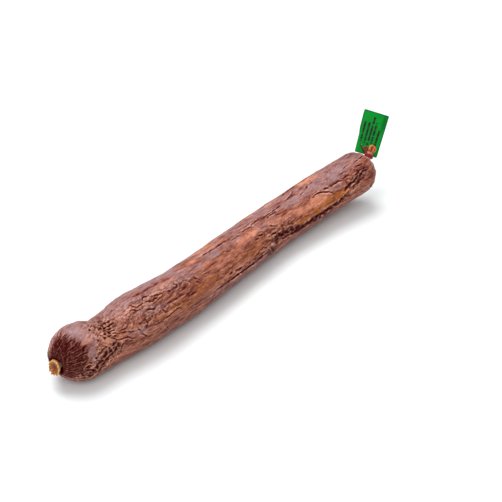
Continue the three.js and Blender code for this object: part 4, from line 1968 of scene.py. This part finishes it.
@dataclass
class Tag:
    """A thin stiff tag with a hole, whose lower left edge curls back."""

    shift: np.ndarray
    width: float = 34.5
    length: float = 61.0
    thickness: float = 0.5
    middle: float = -0.4
    corner: float = 1.6
    hole: tuple[float, float] = (-10.0, 11.7)
    hole_radius: float = 0.8
    turn: float = math.radians(-51)
    lean: float = math.radians(-32)
    roll: float = math.radians(17.1)
    curl_from: float = -11.5
    curl_top: float = 41.0
    curl: float = 0.12
    bow: float = 0.0011
    columns: int = 220
    rings: int = 34
    # Printed lines: across, lower end, upper end.
    lines: tuple[tuple[float, float, float], ...] = (
        (-11.6, 17.0, 44.0), (-5.9, 16.0, 44.5), (-0.9, 14.0, 53.0), (3.8, 18.0, 46.0),
        (9.9, 12.5, 37.0),
    )
    line_points: int = 24
    foot: tuple[float, float, float] = (566.4, -2.9, 58.0)

    def facing(self) -> Matrix:
        """The tag's turn, in whose frame its width is along X, its length along Z, its front -Y."""
        turned = Matrix.Rotation(self.turn, 3, "Z") @ Matrix.Rotation(self.lean, 3, "X")
        return turned @ Matrix.Rotation(self.roll, 3, "Y")

    def outline(self, angle: np.ndarray) -> np.ndarray:
        """Where rays from the hole's middle meet the tag's rounded edge.

        Args:
            angle: The rays' angles.

        Returns:
            Points across and up, from the middle of the lower edge.
        """
        half, r = self.width / 2, self.corner
        low, high = np.array([-half, 0.0]), np.array([half, self.length])
        origin = np.array(self.hole)
        direction = np.stack([np.cos(angle), np.sin(angle)], axis=-1)
        room = np.where(direction > 0, high - origin, origin - low)
        reach = (room / np.maximum(np.abs(direction), 1e-9)).min(axis=-1)
        points = origin + reach[:, None] * direction
        inner = np.clip(points, low + r, high - r)
        away = points - inner
        size = np.linalg.norm(away, axis=-1)
        in_corner = (np.abs(away) > 1e-6).all(axis=-1)
        pulled = inner + away / np.maximum(size, 1e-9)[:, None] * r
        return np.where(in_corner[:, None], pulled, points)

    def bent(self, points: np.ndarray) -> np.ndarray:
        """Narrows the sheet's left side downwards, curls its lower left edge back and bows it.

        Args:
            points: Across, towards the back, up.

        Returns:
            The bent points.
        """
        across, back, up = points[..., 0], points[..., 1], points[..., 2]
        past = np.maximum(0, self.curl_from - across)
        share = smooth((self.curl_top - up) / 16) * smooth((up + 9) / 10)
        bend = self.curl * past * share
        across = across * np.where(across < 0, 0.90 + 0.21 * up / self.length, 1.0)
        bow = self.bow * (across - 2) ** 2 + 0.25 * np.sin(up / 11.0)
        return np.stack([
            across + past * (1 - np.cos(bend)) * 0.9,
            back + past * np.sin(bend) + bow,
            up,
        ], axis=-1)

    def placed(self, points: np.ndarray) -> np.ndarray:
        """The tag's own points put in the frame, in millimetres."""
        return self.shift + np.array(self.foot) + points @ np.array(self.facing()).T

    def sheet(self) -> bpy.types.Mesh:
        """Makes the tag's sheet with its hole.

        Returns:
            The mesh, painted with rim, which also holds the painted shade along the bent side.
        """
        angle = np.linspace(0, 2 * math.pi, self.columns, endpoint=False)
        round_it = np.stack([np.cos(angle), np.sin(angle)], axis=-1)
        hole = np.array(self.hole) + self.hole_radius * round_it
        edge = self.outline(angle)
        share = np.linspace(0, 1, self.rings)[:, None, None]
        flat = hole[None] + (edge - hole)[None] * share
        faces = []
        for back in (-self.thickness / 2, self.thickness / 2):
            depth = np.full(flat.shape[:2], self.middle + back)
            faces.append(self.bent(np.stack([flat[..., 0], depth, flat[..., 1]], axis=-1)))
        front, rear = (self.placed(points) for points in faces)
        loop = np.concatenate([front, rear[::-1]])
        rows, columns = loop.shape[:2]
        index = np.arange(rows * columns).reshape(rows, columns)
        below = np.roll(index, -1, axis=0)
        quads = np.stack(
            [index, np.roll(index, -1, 1), np.roll(below, -1, 1), below], axis=-1
        ).reshape(-1, 4)
        mesh = bpy.data.meshes.new("tag_sheet")
        mesh.from_pydata((loop.reshape(-1, 3) * MM).tolist(), [], quads[:, ::-1].tolist())
        mesh.shade_smooth()
        half = self.width / 2
        inset = np.minimum.reduce([
            half - np.abs(flat[..., 0]), flat[..., 1], self.length - flat[..., 1],
        ])
        around_hole = np.linalg.norm(flat - np.array(self.hole), axis=-1) - self.hole_radius
        rim = np.maximum(hump(inset, 1.2), 0.6 * hump(around_hole, 0.8))
        # Painted shade along the bent upper right side.
        fold_shade = smooth((flat[..., 0] - 9) / 3) * smooth((flat[..., 1] - 30) / 16)
        rim = np.maximum(rim, 0.55 * fold_shade)
        paint(mesh, "rim", np.concatenate([rim, rim[::-1]]).reshape(-1))
        return mesh

    def print(self, ink: bpy.types.Material) -> bpy.types.Mesh:
        """Makes rows of plain dashes on the tag's front, which stand for its small print.

        Args:
            ink: The ink's material.

        Returns:
            The mesh.
        """
        points: list = []
        edges: list = []
        count = self.line_points
        for across, low, high in self.lines:
            flat = np.full((count, 3), (across, self.middle - self.thickness / 2, 0.0))
            flat[:, 2] = np.linspace(low, high, count)
            edges += [(len(points) + i, len(points) + i + 1) for i in range(count - 1)]
            points += (self.placed(self.bent(flat)) * MM).tolist()
        lines = bpy.data.meshes.new("print_lines")
        lines.from_pydata(points, edges, [])
        values = {
            "Pitch": 1.5 * MM, "Size": (3.0 * MM, 0.2 * MM, 1.7 * MM), "Kept": 0.82, "Seed": 9,
            "Turn": self.facing().to_euler(), "Material": ink,
        }
        mesh = grown("tag_print", lines, DashTree().tree(), values)
        mesh.shade_flat()
        return mesh


@dataclass
class TagThread:
    """The thread that holds the tag: from behind it, through its hole and down to the tie."""

    twine: Twine
    route: tuple[tuple[float, float, float], ...] = (
        (-10.4, 1.7, 14), (-10.2, 1.0, 12.6), (-9.9, -0.5, 11.7), (-9, -1.9, 10.2),
        (-6.6, -2.0, 7.4), (-3.4, -2.0, 4.0), (0.4, -2.0, -0.6),
    )

    def build(self, tag: Tag) -> bpy.types.Mesh:
        """Makes the thread along its route in the tag's frame."""
        return self.twine.laid("tag_cord", tag.placed(rounded(np.array(self.route), 6)), 21)


# ---- Studio ----


@dataclass
class Studio:
    """A plain pale floor, soft light from above and behind, and the camera."""

    azimuth: float = -51.0
    elevation: float = 32.0
    distance: float = 1.202
    lens: float = 70.0
    aim: tuple[float, float, float] = (-0.0024, -0.0097, 0.0311)
    floor_size: float = 40.0
    floor_colour: Colour = (0.90, 0.93, 0.94)
    room_light: float = 0.14

    @staticmethod
    def face(thing: bpy.types.Object, azimuth: float, elevation: float) -> Vector:
        """Turns a camera or a light towards the loin from one side.

        Args:
            thing: The camera or the light.
            azimuth: The side it looks from, in degrees from the front.
            elevation: How high it looks from, in degrees.

        Returns:
            The direction from the loin to it.
        """
        a, e = math.radians(azimuth), math.radians(elevation)
        back = Vector((math.sin(a) * math.cos(e), -math.cos(a) * math.cos(e), math.sin(e)))
        thing.rotation_mode = "QUATERNION"
        thing.rotation_quaternion = (-back).to_track_quat("-Z", "Y")
        return back

    def build(self) -> None:
        """Sets up the camera, the floor and the light."""
        self.camera()
        self.floor()
        self.light("key", 158.0, 66.0, 2.2, 40.0)
        self.light("fill", -60.0, 40.0, 1.3, 60.0)
        self.light("top", 0.0, 88.0, 1.1, 110.0)
        self.surroundings()
        bpy.context.scene.view_settings.view_transform = "Standard"

    def camera(self) -> None:
        """Makes the camera and aims it at the middle of the loin."""
        data = bpy.data.cameras.new("camera")
        data.lens = self.lens
        data.clip_end = 100.0
        camera = in_scene("camera", data)
        back = self.face(camera, self.azimuth, self.elevation)
        camera.location = Vector(self.aim) + back * self.distance
        bpy.context.scene.camera = camera

    def floor(self) -> None:
        """Makes the floor, pale and faintly glossy."""
        half = self.floor_size / 2
        mesh = bpy.data.meshes.new("floor")
        corners = [(-half, -half, 0), (half, -half, 0), (half, half, 0), (-half, half, 0)]
        mesh.from_pydata(corners, [], [(0, 1, 2, 3)])
        material, wire, shader = new_material("pale_floor")
        wire.fill(shader, {"Base Color": self.floor_colour, "Roughness": 0.28})
        mesh.materials.append(material)
        in_scene("floor", mesh)

    def light(
        self, name: str, azimuth: float, elevation: float, strength: float, spread: float
    ) -> None:
        """Makes a broad, even light from one side.

        Args:
            name: The light's name.
            azimuth: Where it is, in degrees, as the camera's.
            elevation: How high it is, in degrees.
            strength: How bright it is.
            spread: How wide it looks from the object, in degrees.
        """
        data = bpy.data.lights.new(name, "SUN")
        data.energy = strength
        data.angle = math.radians(spread)
        self.face(in_scene(name, data), azimuth, elevation)

    def surroundings(self) -> None:
        """Makes the room: white to look at, and dimmer as a light."""
        world = bpy.data.worlds.new("room")
        world.use_nodes = True
        wire = Wiring(world.node_tree)
        background = world.node_tree.nodes["Background"]
        seen = wire.node("ShaderNodeLightPath").outputs["Is Camera Ray"]
        wire.fill(background, {
            "Color": (1.0, 1.0, 1.0), "Strength": wire.ranged(seen, self.room_light, 1.0),
        })
        bpy.context.scene.world = world


# ---- The whole ----


RED_TWINE = Twine(2.4, TwineFinish(
    "red_twine", (0.60, 0.010, 0.035), (0.58, 0.03, 0.02), (0.07, 0.002, 0.004),
))
# The near twine is darkened partly by stain and partly as painted shade for the crevice round the
# near neck.
PALE_TWINE = Twine(1.2, TwineFinish(
    "pale_twine", (0.13, 0.048, 0.026), (0.055, 0.010, 0.006), (0.02, 0.003, 0.002),
), turns_per_mm=0.24)
DARK_THREAD = Twine(1.5, TwineFinish(
    "dark_thread", (0.045, 0.012, 0.010), (0.12, 0.03, 0.02), (0.008, 0.003, 0.003),
), strands=2, turns_per_mm=0.3)
ROSETTE_FINISH = GatheredFinish(
    "rosette_casing", (0.85, 0.60, 0.30), (0.50, 0.17, 0.020), (0.11, 0.005, 0.005)
)
TUFT_FINISH = GatheredFinish(
    "tuft_casing", (0.95, 0.34, 0.11), (0.72, 0.15, 0.035), (0.16, 0.010, 0.010)
)


def main() -> None:
    """Builds every piece around the frame, in order."""
    logging.basicConfig(level=logging.INFO, format="%(message)s")
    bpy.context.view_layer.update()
    Studio().build()

    casing = Casing()
    mesh, shift = casing.build()
    form = casing.form
    settle("loin", mesh, CasingFinish().material(), ("cured_loin",))

    pole = shift + form.pole()
    rosette = Rosette()
    settle("rosette", rosette.build(pole), ROSETTE_FINISH.material(), ("cured_loin",))
    near = NearTie(PALE_TWINE)
    settle("near_twine", near.build(pole, rosette.tilt), None, ("near_tie",))

    mesh = Tuft().build(shift + np.array(form.neck_base), form.neck_rise)
    settle("casing_tuft", mesh, TUFT_FINISH.material(), ("cured_loin",))
    tag = Tag(shift)
    mesh = FarTie(RED_TWINE).build(form, shift, tag.facing())
    settle("far_twine", mesh, None, ("far_tie",))

    settle("tag_sheet", tag.sheet(), TagFinish().material(), ("tag",))
    settle("tag_print", tag.print(InkFinish().material()), None)
    settle("tag_cord", TagThread(DARK_THREAD).build(tag), None, ("tag_thread",))


if __name__ == "__main__":
    main()
